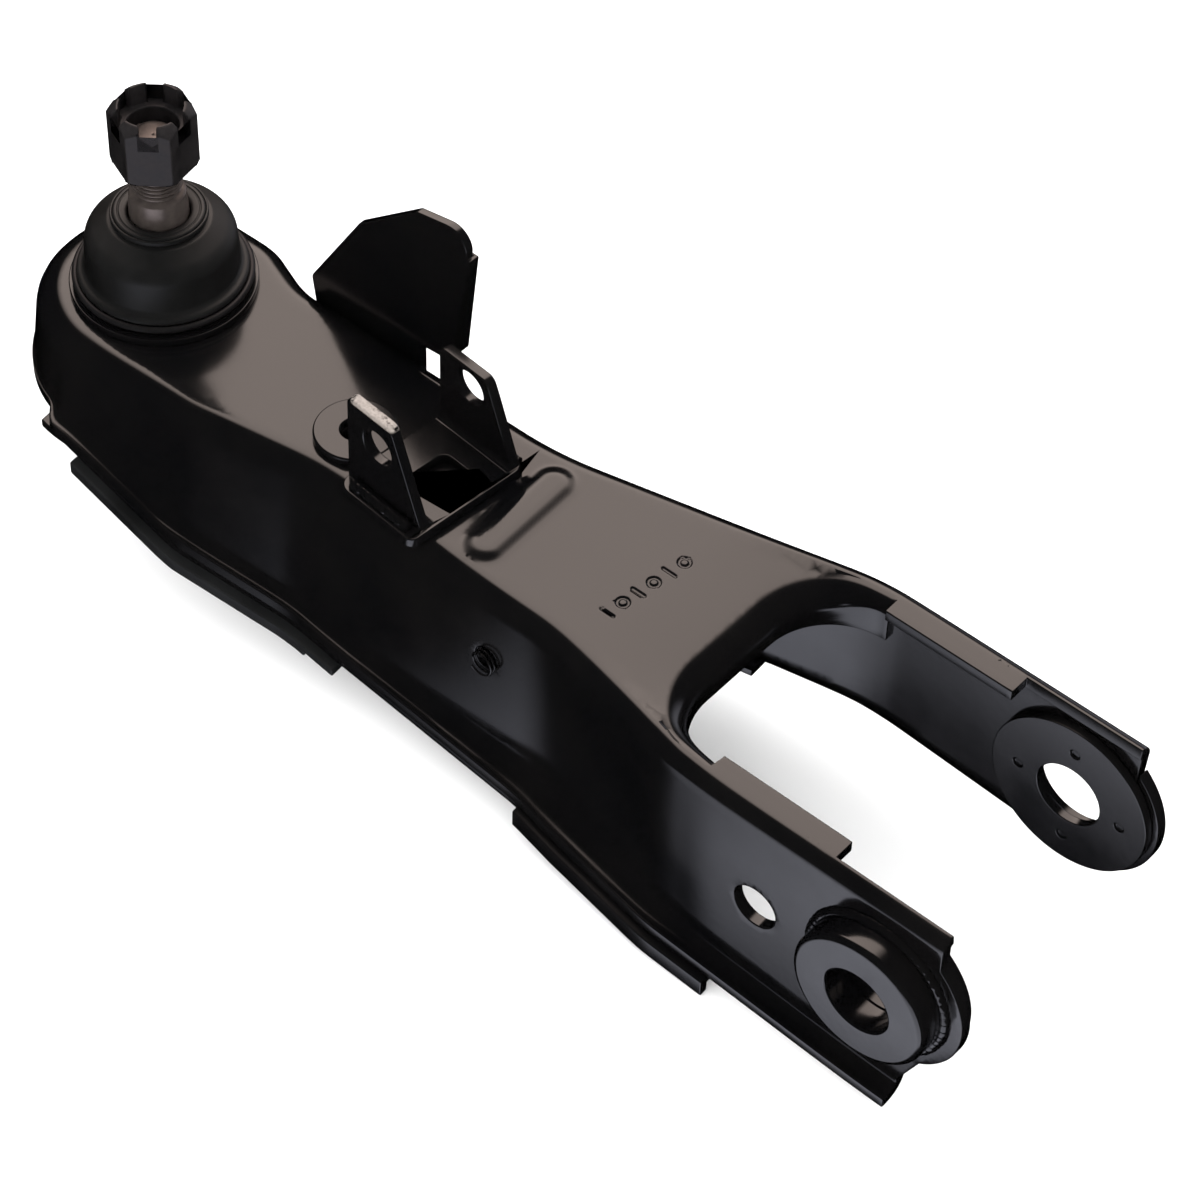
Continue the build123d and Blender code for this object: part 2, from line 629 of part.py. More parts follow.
def ball_stud():
    """Ball, neck, taper and M16 thread in one forging, cross-drilled for a cotter pin."""
    neck_top = TOP_HEIGHT + NECK_TOP
    taper_foot = TOP_HEIGHT + TAPER_FOOT
    taper_top = TOP_HEIGHT + THREAD_FOOT
    join = BALL_Z + math.sqrt(BALL_RADIUS ** 2 - NECK_RADIUS ** 2) - 0.4
    top = TOP_HEIGHT + STUD_TOP
    shank = turned([
        (0, join), (NECK_RADIUS, join), (NECK_RADIUS, neck_top), (TAPER_FOOT_RADIUS, taper_foot),
        (TAPER_TOP_RADIUS, taper_top), (THREAD_RADIUS - 0.5, taper_top + 0.5),
        (THREAD_RADIUS - 0.5, taper_top + 2.0), (THREAD_RADIUS - 0.05, taper_top + 2.6),
        (THREAD_RADIUS - 0.05, top - 1.6), (THREAD_RADIUS - 1.6, top), (0, top),
    ])
    stud = shank + BALL_AXIS * Pos(0, 0, BALL_Z) * Sphere(BALL_RADIUS)
    hole_z = TOP_HEIGHT + NUT_FACE - 3.2
    return stud - BALL_AXIS * Pos(0, 0, hole_z) * Rot(90, 0, 50) * Cylinder(COTTER_RADIUS, 4 * THREAD_RADIUS)


def castle_nut():
    """M16 slotted hexagon nut, six slots at the middle of the flats."""
    low = TOP_HEIGHT + NUT_FACE
    hexagon = extrude(RegularPolygon(NUT_CORNER, 6), NUT_HEIGHT)
    body = BALL_AXIS * Pos(0, 0, low) * Rot(0, 0, NUT_TURN) * hexagon
    body &= turned([
        (0, low), (NUT_CORNER - 1.2, low), (NUT_CORNER, low + 1.0), (NUT_CORNER, low + NUT_HEIGHT - 3.0),
        (NUT_CORNER - 3.4, low + NUT_HEIGHT), (0, low + NUT_HEIGHT),
    ])
    for turn in range(0, 180, 60):
        slot = Box(NUT_SLOT_WIDTH, 4 * NUT_FLATS, NUT_SLOT_DEPTH)
        body -= BALL_AXIS * Pos(0, 0, low + NUT_HEIGHT - NUT_SLOT_DEPTH / 2) * Rot(0, 0, turn + NUT_TURN) * slot
    body -= BALL_AXIS * Pos(0, 0, low) * Cylinder(THREAD_RADIUS, 4 * NUT_HEIGHT)
    return body - tube(NUT_CROWN_RADIUS, 0, low + NUT_HEIGHT - NUT_SLOT_DEPTH, low + 2 * NUT_HEIGHT)


def dust_boot():
    """Rubber bellows bell from the housing flange up to the stud's taper."""
    base = FLANGE_TOP + 0.1
    top = base + BOOT_HEIGHT
    shoulder = BOOT_RADIUS - 3.2
    outer = Spline([
        (BOOT_RADIUS, base + 5.0),
        (shoulder, base + 8.0),
        (shoulder - 0.9, base + 13.0),
        (shoulder - 2.8, base + 19.0),
        (BOOT_LIP_RADIUS + 2.6, top - 4.0),
        (BOOT_LIP_RADIUS, top - 2.6),
    ])
    inner = Spline([
        (BOOT_MOUTH_RADIUS + 1.0, top - 4.5),
        (BOOT_LIP_RADIUS + 0.6, top - 6.5),
        (shoulder - 5.3, base + 17.4),
        (shoulder - 3.3, base + 12.0),
        (BOOT_RADIUS - BOOT_WALL - 1.8, base + 3.6),
    ])
    edges = [
        Line((BOOT_RADIUS, base), (BOOT_RADIUS, base + 5.0)),
        outer,
        Line((BOOT_LIP_RADIUS, top - 2.6), (BOOT_LIP_RADIUS, top)),
        Line((BOOT_LIP_RADIUS, top), (BOOT_MOUTH_RADIUS, top)),
        Line((BOOT_MOUTH_RADIUS, top), (BOOT_MOUTH_RADIUS, top - 4.5)),
        Line((BOOT_MOUTH_RADIUS, top - 4.5), (BOOT_MOUTH_RADIUS + 1.0, top - 4.5)),
        inner,
        Line((BOOT_RADIUS - BOOT_WALL - 1.8, base + 3.6), (BOOT_RADIUS - BOOT_WALL - 1.8, base)),
        Line((BOOT_RADIUS - BOOT_WALL - 1.8, base), (BOOT_RADIUS, base)),
    ]
    boot = BALL_AXIS * revolve(Plane.XZ * make_face(edges), Axis.Z)
    boot -= tube(BOOT_RADIUS + 1, BOOT_RADIUS - 0.8, base + 1.2, base + 3.8)
    return boot


def boot_base_ring():
    """Spring ring in the groove round the boot's foot."""
    base = FLANGE_TOP + 0.1
    middle = base + 2.5
    wire = Pos(BOOT_RADIUS - 0.8 + 1.15, 0, middle) * Rot(90, 0, 0) * Circle(1.1)
    return BALL_AXIS * revolve(wire, Axis.Z)


def boot_top_ring():
    """Retaining ring round the boot's mouth."""
    top = FLANGE_TOP + 0.1 + BOOT_HEIGHT
    return tube(BOOT_LIP_RADIUS + 1.0, BOOT_LIP_RADIUS, top - 2.4, top - 0.4)


# ---------------------------------------------------------------- write one file per sub-part
PARTS = {
    "upper_pressing": upper_pressing(),
    "lower_pressing": lower_pressing(),
    "reinforcement_plate": reinforcement_plate(),
    "pivot_collar_near": pivot_collar(),
    "pivot_pad_near": pivot_pad(-1),
    "pivot_pad_far": pivot_pad(1),
    "weld_collar_near": collar_weld(),
    "weld_nut": weld_nut(),
    "shock_bracket": shock_bracket(),
    "bracket_washer": bracket_washer(),
    "weld_bracket_near": bracket_weld(-1),
    "weld_bracket_far": bracket_weld(1),
    "stop_bracket": stop_bracket(),
    "weld_stop_bracket": stop_weld(),
    "ball_housing": ball_housing(),
    "bearing_seat_upper": bearing_seat_upper(),
    "bearing_seat_lower": bearing_seat_lower(),
    "preload_spring": preload_spring(),
    "cover_plate": cover_plate(),
    "ball_stud": ball_stud(),
    "castle_nut": castle_nut(),
    "dust_boot": dust_boot(),
    "boot_base_ring": boot_base_ring(),
    "boot_top_ring": boot_top_ring(),
}

os.makedirs("parts", exist_ok=True)
for name, solid in PARTS.items():
    export_step(solid, f"parts/{name}.step")
    print(name, round(solid.volume), len(solid.solids()))
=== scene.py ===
import json
import math

import bmesh
import bpy
import numpy as np
from mathutils import Matrix, Vector
from mathutils.geometry import delaunay_2d_cdt


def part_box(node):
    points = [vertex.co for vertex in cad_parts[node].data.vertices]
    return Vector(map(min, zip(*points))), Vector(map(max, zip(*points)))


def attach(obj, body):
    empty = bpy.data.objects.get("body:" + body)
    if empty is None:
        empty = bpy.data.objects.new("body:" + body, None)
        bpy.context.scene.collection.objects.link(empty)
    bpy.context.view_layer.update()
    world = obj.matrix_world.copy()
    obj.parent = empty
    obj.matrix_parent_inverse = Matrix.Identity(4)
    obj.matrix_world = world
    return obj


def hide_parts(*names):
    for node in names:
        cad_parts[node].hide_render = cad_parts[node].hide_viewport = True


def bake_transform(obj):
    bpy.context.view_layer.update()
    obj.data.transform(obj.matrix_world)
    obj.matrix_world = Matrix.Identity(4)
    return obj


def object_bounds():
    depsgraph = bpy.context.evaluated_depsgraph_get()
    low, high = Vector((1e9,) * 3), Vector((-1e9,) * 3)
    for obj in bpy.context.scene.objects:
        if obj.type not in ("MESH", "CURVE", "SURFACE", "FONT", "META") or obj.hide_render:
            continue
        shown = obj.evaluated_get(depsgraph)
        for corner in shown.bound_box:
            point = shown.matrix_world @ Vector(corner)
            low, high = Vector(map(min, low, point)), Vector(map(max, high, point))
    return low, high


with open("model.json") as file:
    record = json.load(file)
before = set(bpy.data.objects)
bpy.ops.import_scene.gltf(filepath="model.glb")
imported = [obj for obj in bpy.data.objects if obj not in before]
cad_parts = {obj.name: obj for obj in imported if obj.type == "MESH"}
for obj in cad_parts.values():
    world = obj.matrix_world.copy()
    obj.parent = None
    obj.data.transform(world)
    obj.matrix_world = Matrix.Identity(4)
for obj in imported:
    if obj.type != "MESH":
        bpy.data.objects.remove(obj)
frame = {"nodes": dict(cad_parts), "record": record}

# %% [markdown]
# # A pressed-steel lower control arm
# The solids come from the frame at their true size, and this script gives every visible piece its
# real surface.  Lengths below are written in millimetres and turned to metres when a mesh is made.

MM = 0.001
scene = bpy.context.scene
cad_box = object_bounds()
print("frame:", len(frame["nodes"]), "solids, CAD box", [list(v) for v in cad_box])

# %% [markdown]
# Every piece is made the same way in the end: a mesh at the origin, its modifiers applied, its
# shading smooth.  Three small helpers do that.  Two more read a solid's box and ease a number
# from 0 to 1, which is how most of the pressing's changes of section are written.

# %% Helpers for meshes
def node_box(node):
    """Lowest and highest corner of a CAD node, in millimetres."""
    low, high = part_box(node)
    return np.array(low) / MM, np.array(high) / MM


def smooth(x, start, stop):
    """0 before start, 1 after stop, with a soft S between them."""
    t = np.clip((np.asarray(x, float) - start) / (stop - start), 0.0, 1.0)
    return t * t * (3 - 2 * t)


def new_object(name, mesh):
    """A mesh as an object of the scene, standing at the origin."""
    piece = bpy.data.objects.new(name, mesh)
    scene.collection.objects.link(piece)
    return piece


def mesh_from(name, points, faces):
    """Object from points in millimetres and faces as tuples of indices."""
    mesh = bpy.data.meshes.new(name)
    mesh.from_pydata([tuple(p) for p in np.asarray(points) * MM], [], faces)
    mesh.update()
    return new_object(name, mesh)


def plain(piece, material=None):
    """Applies every modifier, smooths the shading and hands back a plain mesh object."""
    graph = bpy.context.evaluated_depsgraph_get()
    mesh = bpy.data.meshes.new_from_object(piece.evaluated_get(graph), depsgraph=graph)
    piece.modifiers.clear()
    piece.data = mesh
    mesh.polygons.foreach_set("use_smooth", [True] * len(mesh.polygons))
    if material is not None:
        mesh.materials.clear()
        mesh.materials.append(material)
    return piece


# %% [markdown]
# The frame already says where things are.  A few of its boxes give the sizes that the pressing
# needs, so the sheet meets the collars, the bracket and the ball joint exactly.

# %% Sizes read from the frame
_, collar_high = node_box("pivot_collar_near")
pressing_low, pressing_high = node_box("upper_pressing")
housing_low, housing_high = node_box("ball_housing")
washer_low, washer_high = node_box("bracket_washer")

TOP = washer_low[2]                          # top face of the arm
EAR_Y = -collar_high[1]                      # outside face of each ear
EAR_END = pressing_high[0]                   # round end of the ears
BALL = (housing_low[:2] + housing_high[:2]) / 2
PAN_END = pressing_low[0]
print("top", TOP, "ear", EAR_Y, "ball axis", BALL, "pan end", PAN_END)

# %% [markdown]
# A finish is a node tree.  One helper adds a node with its settings, its values and its incoming
# links, and another turns a hex colour as seen on a screen into the linear light that the shader
# works in.

# %% Helpers for node trees
MATH = "ShaderNodeMath"
VECTOR_MATH = "ShaderNodeVectorMath"
RANGE = "ShaderNodeMapRange"
MIX = "ShaderNodeMix"


def add(tree, kind, inputs=None, **settings):
    """One node; an input that is given a socket is linked to it, any other is set to the value."""
    node = tree.nodes.new(kind)
    for key, value in settings.items():
        setattr(node, key, value)
    for key, value in (inputs or {}).items():
        if isinstance(value, bpy.types.NodeSocket):
            tree.links.new(value, node.inputs[key])
        else:
            node.inputs[key].default_value = value
    return node


def linear(code):
    """sRGB hex colour as linear RGBA."""
    parts = [int(code[i:i + 2], 16) / 255 for i in (1, 3, 5)]
    return tuple(c / 12.92 if c <= 0.04045 else ((c + 0.055) / 1.055) ** 2.4 for c in parts) + (1.0,)


print("mid grey #808080 is", round(linear("#808080")[0], 3), "in linear light")

# %% [markdown]
# Paint, rubber and steel differ in their numbers, not in their plan: a few patterns sized in
# millimetres, one of which shifts the colour, one the gloss, and some of which lift the surface.
# So a finish is written as a short table, and one function builds any of them.  It hands back the
# sockets as well, so that wear can be laid over the coat later.

# %% One plan for every finish
FACTOR, FIRST, SECOND = 0, 6, 7              # the colour sockets of a Mix node
MIXED = 2
NOISE = ("ShaderNodeTexNoise", {})
RINGS = ("ShaderNodeTexWave", {"bands_direction": "Z"})


def finish(name, patterns, colour, gloss, relief, **values):
    """A material and its parts.

    patterns  name: (texture and its settings, size of a repeat or a blotch in mm, other inputs)
    colour    (pattern, start, stop, hex at the start, hex at the stop)
    gloss     (pattern, start, stop, roughness at the start, roughness at the stop)
    relief    [(pattern, depth in mm), ...] stacked on the normal
    values    whatever is the same all over, on the shader's own sockets
    """
    material = bpy.data.materials.new(name)
    material.use_nodes = True
    tree = material.node_tree
    shader = tree.nodes["Principled BSDF"]
    for key, value in values.items():
        shader.inputs[key.replace("_", " ")].default_value = value
    place = add(tree, "ShaderNodeTexCoord").outputs["Object"]
    found = {}
    for key, ((kind, settings), size, inputs) in patterns.items():
        inputs = {"Vector": place, "Scale": 1.0 / (size * MM), **inputs}
        found[key] = add(tree, kind, inputs, **settings).outputs["Fac"]
    eased = []
    for pattern, start, stop, low, high in ((*colour[:3], 0.0, 1.0), gloss):
        ends = {"From Min": start, "From Max": stop, "To Min": low, "To Max": high}
        eased.append(add(tree, RANGE, {"Value": found[pattern], **ends}).outputs["Result"])
    amount, rough = eased
    ends = {FACTOR: amount, FIRST: linear(colour[3]), SECOND: linear(colour[4])}
    mixed = add(tree, MIX, ends, data_type="RGBA").outputs[MIXED]
    normal = None
    for pattern, depth in relief:
        inputs = {"Strength": 1.0, "Distance": depth * MM, "Height": found[pattern]}
        if normal is not None:
            inputs["Normal"] = normal
        normal = add(tree, "ShaderNodeBump", inputs).outputs["Normal"]
    for socket, key in ((mixed, "Base Color"), (rough, "Roughness"), (normal, "Normal")):
        tree.links.new(socket, shader.inputs[key])
    print("finish:", name)
    parts = {"tree": tree, "shader": shader, "place": place, "colour": mixed, "rough": rough}
    return material, {**parts, **found}


# %% [markdown]
# Chassis parts get a stoved black dip enamel.  It flows out glossy but keeps a fine orange peel,
# a slight waviness of the sheet below, and dust that dulls it in patches.  Where road grit has
# scoured it, as on the doubler under the edge, the same coat is greyer and flat.

# %% Black enamel
def enamel(name, coat, gloss):
    """Dip enamel between two hex colours and two roughnesses."""
    patterns = {
        "dust": (NOISE, 38.0, {"Detail": 5.0, "Roughness": 0.6}), "fine": (NOISE, 0.9, {"Detail": 3.0}),
        "sheet": (NOISE, 45.0, {"Detail": 1.0}), "peel": (NOISE, 2.4, {"Detail": 1.5}),
    }
    return finish(name, patterns, ("dust", 0.35, 0.75, *coat), ("dust", 0.3, 0.75, *gloss),
                  [("sheet", 0.12), ("peel", 0.006)], IOR=1.5, Metallic=0.0)


GLOSSY = (("#060607", "#0c0b0b"), (0.11, 0.20))
ENAMEL, _ = enamel("stoved_black_enamel", *GLOSSY)
DULL, _ = enamel("dusty_black_enamel", ("#101112", "#1d1e1f"), (0.42, 0.6))

# %% [markdown]
# The bracket's ears are the highest edge of the painted part, so handling chips the enamel there
# and bare steel shows.  The same light taupe patches are also a painted highlight: they stand for
# the warm overhead light mirrored on the ears' tops.  They are a coarse pattern that is let
# through only above a height, and they are rougher than the paint round them.

# %% Enamel chipped along the bracket's ears, with a painted highlight on their tops
# The chips and the painted highlight on the ears' tops share these settings.
CHIP_AND_HIGHLIGHT_BELOW_TOP = 1.2                         # the chips begin this far under the ears' tops
CHIP_AND_HIGHLIGHT_FADE = (-0.5, 0.3)
CHIP_AND_HIGHLIGHT_SIZE = 7.0
CHIP_AND_HIGHLIGHT_EDGE = (0.44, 0.52)                     # a narrow band of the noise, so a chip has a crisp edge
CHIP_ROUGHNESS = 0.25                        # added to the paint's own


def chipped_and_highlighted_enamel(name, above):
    """Dip enamel with light taupe patches above a height in millimetres: bare-steel chips and a painted highlight."""
    material, parts = enamel(name, *GLOSSY)
    tree, shader = parts["tree"], parts["shader"]
    height = add(tree, "ShaderNodeSeparateXYZ", {"Vector": parts["place"]}).outputs["Z"]
    edge = add(tree, RANGE, {"Value": height, "From Min": (above + CHIP_AND_HIGHLIGHT_FADE[0]) * MM,
                             "From Max": (above + CHIP_AND_HIGHLIGHT_FADE[1]) * MM}).outputs["Result"]
    spots = add(tree, "ShaderNodeTexNoise", {
        "Vector": parts["place"], "Scale": 1.0 / (CHIP_AND_HIGHLIGHT_SIZE * MM), "Detail": 4.0, "Roughness": 0.65}).outputs["Fac"]
    blotch = add(tree, RANGE, {"Value": spots, "From Min": CHIP_AND_HIGHLIGHT_EDGE[0], "From Max": CHIP_AND_HIGHLIGHT_EDGE[1]}).outputs["Result"]
    chip_and_highlight = add(tree, MATH, {0: edge, 1: blotch}, operation="MULTIPLY").outputs[0]
    # Painted highlight: the taupe of the bare steel also stands for the overhead light mirrored on the ears' tops.
    steel = {FACTOR: parts["fine"], FIRST: linear("#5d554f"), SECOND: linear("#9a918a")}
    bare_steel_and_highlight = add(tree, MIX, steel, data_type="RGBA").outputs[MIXED]
    worn_and_highlighted = add(tree, MIX, {FACTOR: chip_and_highlight, FIRST: parts["colour"], SECOND: bare_steel_and_highlight}, data_type="RGBA")
    rough = add(tree, MATH, {0: chip_and_highlight, 1: CHIP_ROUGHNESS, 2: parts["rough"]}, operation="MULTIPLY_ADD")
    tree.links.new(worn_and_highlighted.outputs[MIXED], shader.inputs["Base Color"])
    tree.links.new(rough.outputs[0], shader.inputs["Roughness"])
    return material


ears_top = node_box("shock_bracket")[1][2]
CHIPPED_AND_HIGHLIGHTED = chipped_and_highlighted_enamel("stoved_black_enamel_chipped_painted_highlight", ears_top - CHIP_AND_HIGHLIGHT_BELOW_TOP)

# %% [markdown]
# The dust boot is moulded chloroprene rubber: black, satin, with the faint grain of its mould and
# a little bloom that greys it.

# %% Rubber
RUBBER, _ = finish(
    "moulded_chloroprene_rubber",
    {"bloom": (NOISE, 16.0, {"Detail": 4.0, "Roughness": 0.6}), "grain": (NOISE, 0.45, {})},
    ("bloom", 0.3, 0.8, "#0d0d0d", "#161515"), ("bloom", 0.3, 0.8, 0.50, 0.62),
    [("bloom", 0.05), ("grain", 0.010)], IOR=1.52)

# %% [markdown]
# Bare steel comes three ways here.  The nut is black-oxidised, dull and nearly black.  The stud is
# turned and left dark with oil, so it keeps a brownish sheen.  The rings are dark spring steel.
# On the turned ones the tool marks run round the axis; a Wave texture repeats every twentieth of
# its scale, so the scale is worked out from the spacing of the marks.

# %% Steels
TOOL_MARKS = 0.35                            # mm from one tool mark to the next
WAVES_PER_UNIT = 20.0


def turned_steel(name, dark, light, rough):
    """Lathe-turned steel between two hex colours, from a roughness up to a little duller."""
    patterns = {
        "blotch": (NOISE, 4.0, {"Detail": 4.0, "Roughness": 0.6}),
        "marks": (RINGS, TOOL_MARKS * WAVES_PER_UNIT, {"Distortion": 0.4, "Detail": 1.0}),
    }
    return finish(name, patterns, ("blotch", 0.0, 1.0, dark, light), ("blotch", 0.3, 0.7, rough, rough + 0.16),
                  [("marks", 0.006), ("blotch", 0.02)], Metallic=0.8)


OXIDE, _ = finish(
    "black_oxide_steel",
    {"blotch": (NOISE, 5.0, {"Detail": 5.0, "Roughness": 0.65}), "grit": (NOISE, 0.35, {})},
    ("blotch", 0.3, 0.75, "#232122", "#383435"), ("blotch", 0.3, 0.75, 0.40, 0.58),
    [("blotch", 0.03), ("grit", 0.012)], Metallic=0.6)
STUD_STEEL, _ = turned_steel("turned_stud_steel", "#4a4341", "#857a74", 0.30)
SPRING, _ = turned_steel("dark_spring_steel", "#242324", "#343233", 0.42)

# %% [markdown]
# The bearing seats hide inside the housing.  They are acetal: off-white, faintly waxy, and marked
# a little by machining.

# %% Bearing polymer
POLYMER, _ = finish(
    "acetal_bearing_polymer", {"cloud": (NOISE, 9.0, {"Detail": 3.0})},
    ("cloud", 0.0, 1.0, "#cfcabb", "#e2ddd0"), ("cloud", 0.0, 1.0, 0.35, 0.5), [("cloud", 0.02)], IOR=1.48)

# %% [markdown]
# ## The upper pressing
# One sheet of steel is drawn into a channel.  The honest way to model it is the way it is made:
# follow the plan outline, and at every station put the section of the sheet - fold, wall, flare
# and flange.  The flat top, the walls with their holes and the lip round the notch are filled in
# between.  A Solidify modifier then gives the sheet its thickness and a Bevel its broken edges.

# %% Plan outline of the pressing
def rounded_path(corners, step):
    """Open path through (x, y, radius) corners, sampled about every step."""
    points = [np.array(corners[0][:2], float)]
    for before, here, after in zip(corners, corners[1:], corners[2:]):
        corner = np.array(here[:2], float)
        back = np.array(before[:2]) - corner
        ahead = np.array(after[:2]) - corner
        back = back / np.linalg.norm(back)
        ahead = ahead / np.linalg.norm(ahead)
        half = math.acos(float(np.clip(back @ ahead, -1, 1))) / 2
        reach = here[2] / math.tan(half)
        middle = corner + (back + ahead) / np.linalg.norm(back + ahead) * here[2] / math.sin(half)
        start, stop = corner + back * reach, corner + ahead * reach
        count = max(3, int(here[2] * (math.pi - 2 * half) / step) + 1)
        first = math.atan2(*(start - middle)[::-1])
        turn = (math.atan2(*(stop - middle)[::-1]) - first + math.pi) % (2 * math.pi) - math.pi
        angles = first + turn * np.linspace(0, 1, count)
        points += [middle + here[2] * np.array((math.cos(a), math.sin(a))) for a in angles]
    points.append(np.array(corners[-1][:2], float))
    path = [points[0]]
    for there in points[1:]:
        run = np.linalg.norm(there - path[-1])
        if run < 1e-6:
            continue
        count = max(1, int(round(run / step)))
        path += [path[-1] + (there - path[-1]) * (k + 1) / count for k in range(count)]
    return np.array(path)


def outward(path):
    """Unit normals of a path, on its right hand side when it runs towards -X on the near side."""
    tangent = np.gradient(path, axis=0)
    tangent /= np.linalg.norm(tangent, axis=1)[:, None]
    return np.stack((-tangent[:, 1], tangent[:, 0]), axis=1)


# %% [markdown]
# The outline runs from the end of the near ear, round the pan that holds the ball joint, to the
# end of the far ear.  The ears are straight, so their stations are placed where something starts
# or stops; the rest is a path with rounded corners.

# %% The outline itself
BALL_X = BALL[0]
NEAR_WALL = 41.0
FAR_WALL = 23.5
PAN_REACH = BALL_X - PAN_END
PAN_WIDTH = 80.0
NOTCH_ROOT = 91.0                            # from the pivot axis to the notch's bottom
STEP = 1.6                                   # between stations

near_pan = BALL[1] - PAN_REACH
far_pan = near_pan + PAN_WIDTH
pan_round = PAN_WIDTH / 2 - 0.5
TAB_END = -21.0
FOLD_END = 19.8                              # the fold stops here on each ear
FLANGE_END = 10.6                            # and the flange here
STRAIGHT = -61.0                             # each ear is straight up to here
ear_run = np.concatenate([np.linspace(a, b, max(2, int(abs(a - b) / STEP)))[:-1] for a, b in (
    (EAR_END, FOLD_END), (FOLD_END, FLANGE_END), (FLANGE_END, TAB_END), (TAB_END, STRAIGHT))])
body = rounded_path([
    (STRAIGHT, -EAR_Y, 0),
    (-NOTCH_ROOT + 12, -EAR_Y, 70),
    (-NOTCH_ROOT - 45, -NEAR_WALL, 90),
    (BALL_X + 90, -NEAR_WALL, 90),
    (BALL_X + 45, near_pan, 60),
    (PAN_END, near_pan, pan_round),
    (PAN_END, far_pan, pan_round),
    (BALL_X + 14, far_pan, 26),
    (BALL_X + 34, FAR_WALL, 30),
    (BALL_X + 138, FAR_WALL, 120),
    (-NOTCH_ROOT + 16, EAR_Y, 90),
    (STRAIGHT, EAR_Y, 0),
], STEP)
near_ear = np.stack((ear_run, np.full(len(ear_run), -EAR_Y)), axis=1)
far_ear = np.stack((ear_run[::-1], np.full(len(ear_run), EAR_Y)), axis=1)
plan = np.concatenate((near_ear, body, far_ear))
plan_normal = outward(plan)
plan_s = np.concatenate(([0.0], np.cumsum(np.linalg.norm(np.diff(plan, axis=0), axis=1))))
near_side = plan[:, 1] < BALL[1]
print("outline:", len(plan), "stations,", round(plan_s[-1]), "mm long")

# %% [markdown]
# The section changes along the arm.  On the ears the wall is upright and the fold tight; towards
# the ball joint the wall leans out, and half way along it runs into the flange with a soft flare.
# Every value below is set at a few stations and eased in between.

# %% Section of the sheet at each station
SHEET = 4.0
FLANGE = 6.0
FLANGE_MIN = 0.2                             # where there is no flange, a sliver keeps the band whole
FOOT_TILT = math.radians(8.0)                # the far side's foot is higher than the near side's
foot_x = [-1000.0, BALL_X, 0.85 * BALL_X, 0.66 * BALL_X, 0.37 * BALL_X, 0.0, 1000.0]
foot_z = [6.5, 6.5, -8.8, -19.6, -31.3, -38.5, -38.5]


def eased(values, width=9):
    """Running average that rounds off the corners of a profile."""
    pad = np.pad(values, width, mode="edge")
    kernel = np.hanning(2 * width + 1)
    return np.convolve(pad, kernel / kernel.sum(), mode="valid")


def along(near_values, far_values):
    """Eased value per station from (x, value) pairs for the near and the far side."""
    near_x, near_v = zip(*sorted(near_values))
    far_x, far_v = zip(*sorted(far_values))
    near = np.interp(plan[:, 0], near_x, near_v)
    far = np.interp(plan[:, 0], far_x, far_v)
    side = smooth(plan[:, 1], BALL[1] - 25, BALL[1] + 20)
    side = np.where(plan[:, 0] > BALL_X + 5, (plan[:, 1] > 0).astype(float), side)
    return eased(near * (1 - side) + far * side)


fold_r = along([(-361, 10), (-290, 8), (-200, 7), (-110, 6), (-75, 4.6)],
               [(-361, 10), (-280, 8), (-110, 6), (-75, 4.6)])
flare_r = along([(-340, 1), (-320, 4), (-210, 4), (-165, 6), (-130, 8), (-95, 7), (-66, 4.0)],
                [(-361, 1), (-270, 5), (-100, 5), (-66, 4.0)])
lean = np.radians(along([(-361, 6), (-300, 9), (-205, 9), (-155, 3), (-110, 1), (-75, 0)],
                        [(-361, 6), (-300, 2), (-270, 0), (-75, 0)]))
flat = along([(-361, 0), (-325, 1), (-95, 1), (-66, 2)], [(-361, 0), (-285, 1), (-90, 1), (-66, 2)])
flange = np.where(near_side, smooth(plan[:, 0], -332, -322), smooth(plan[:, 0], -296, -284)) * FLANGE
flange = np.maximum(flange, FLANGE_MIN)
flare_r = np.minimum(flare_r, np.maximum(flange * 1.5, 0.6))
flat = np.minimum(flat, flange * 0.3)
foot_middle = eased(np.interp(plan[:, 0], foot_x, foot_z), 14)
foot = foot_middle / math.cos(FOOT_TILT) + plan[:, 1] * math.tan(FOOT_TILT)
flange_z = foot + SHEET
reach = flange - flat                        # where the flare has become the flat flange
wall_top = TOP - fold_r + fold_r * np.sin(lean)
wall_foot = flange_z + flare_r - flare_r * np.sin(lean)
inset = eased(np.tan(lean) * (wall_top - wall_foot) - reach + (fold_r + flare_r) * np.cos(lean), 16)
top_n = -inset + fold_r * np.cos(lean)       # wall, at the end of the fold
foot_n = reach - flare_r * np.cos(lean)      # wall, at the start of the flare
print("fold starts", round(inset.min(), 1), "to", round(inset.max(), 1), "mm inside the outline")

# %% [markdown]
# Two bands of quads follow the outline: the fold at the top and the flare with its flange at the
# foot.  Their rows are shared with the flat pieces that come next, so the sheet stays one skin.

# %% Fold and flange bands
skin_points = []
skin_faces = []


def station_point(index, n, z):
    """Point at a station, n outwards from the outline and at height z."""
    x, y = plan[index] + plan_normal[index] * n
    return (x, y, z)


def band(stations, rows, flip=False):
    """Quads between the stations' rows of points."""
    start = len(skin_points)
    width = len(rows[0])
    for row in rows:
        skin_points.extend(row)
    for i in range(len(stations) - 1):
        for j in range(width - 1):
            a = start + i * width + j
            face = (a, a + 1, a + width + 1, a + width)
            skin_faces.append(face[::-1] if flip else face)


FOLD_ROWS = 8
fold_stations = np.where(plan[:, 0] < FOLD_END + 0.01)[0]
rows = []
for i in fold_stations:
    r = fold_r[i]
    rows.append([station_point(i, -inset[i] + r * math.sin(a), TOP - r + r * math.cos(a))
                 for a in np.linspace(0, math.pi / 2 - lean[i], FOLD_ROWS)])
band(fold_stations, rows)

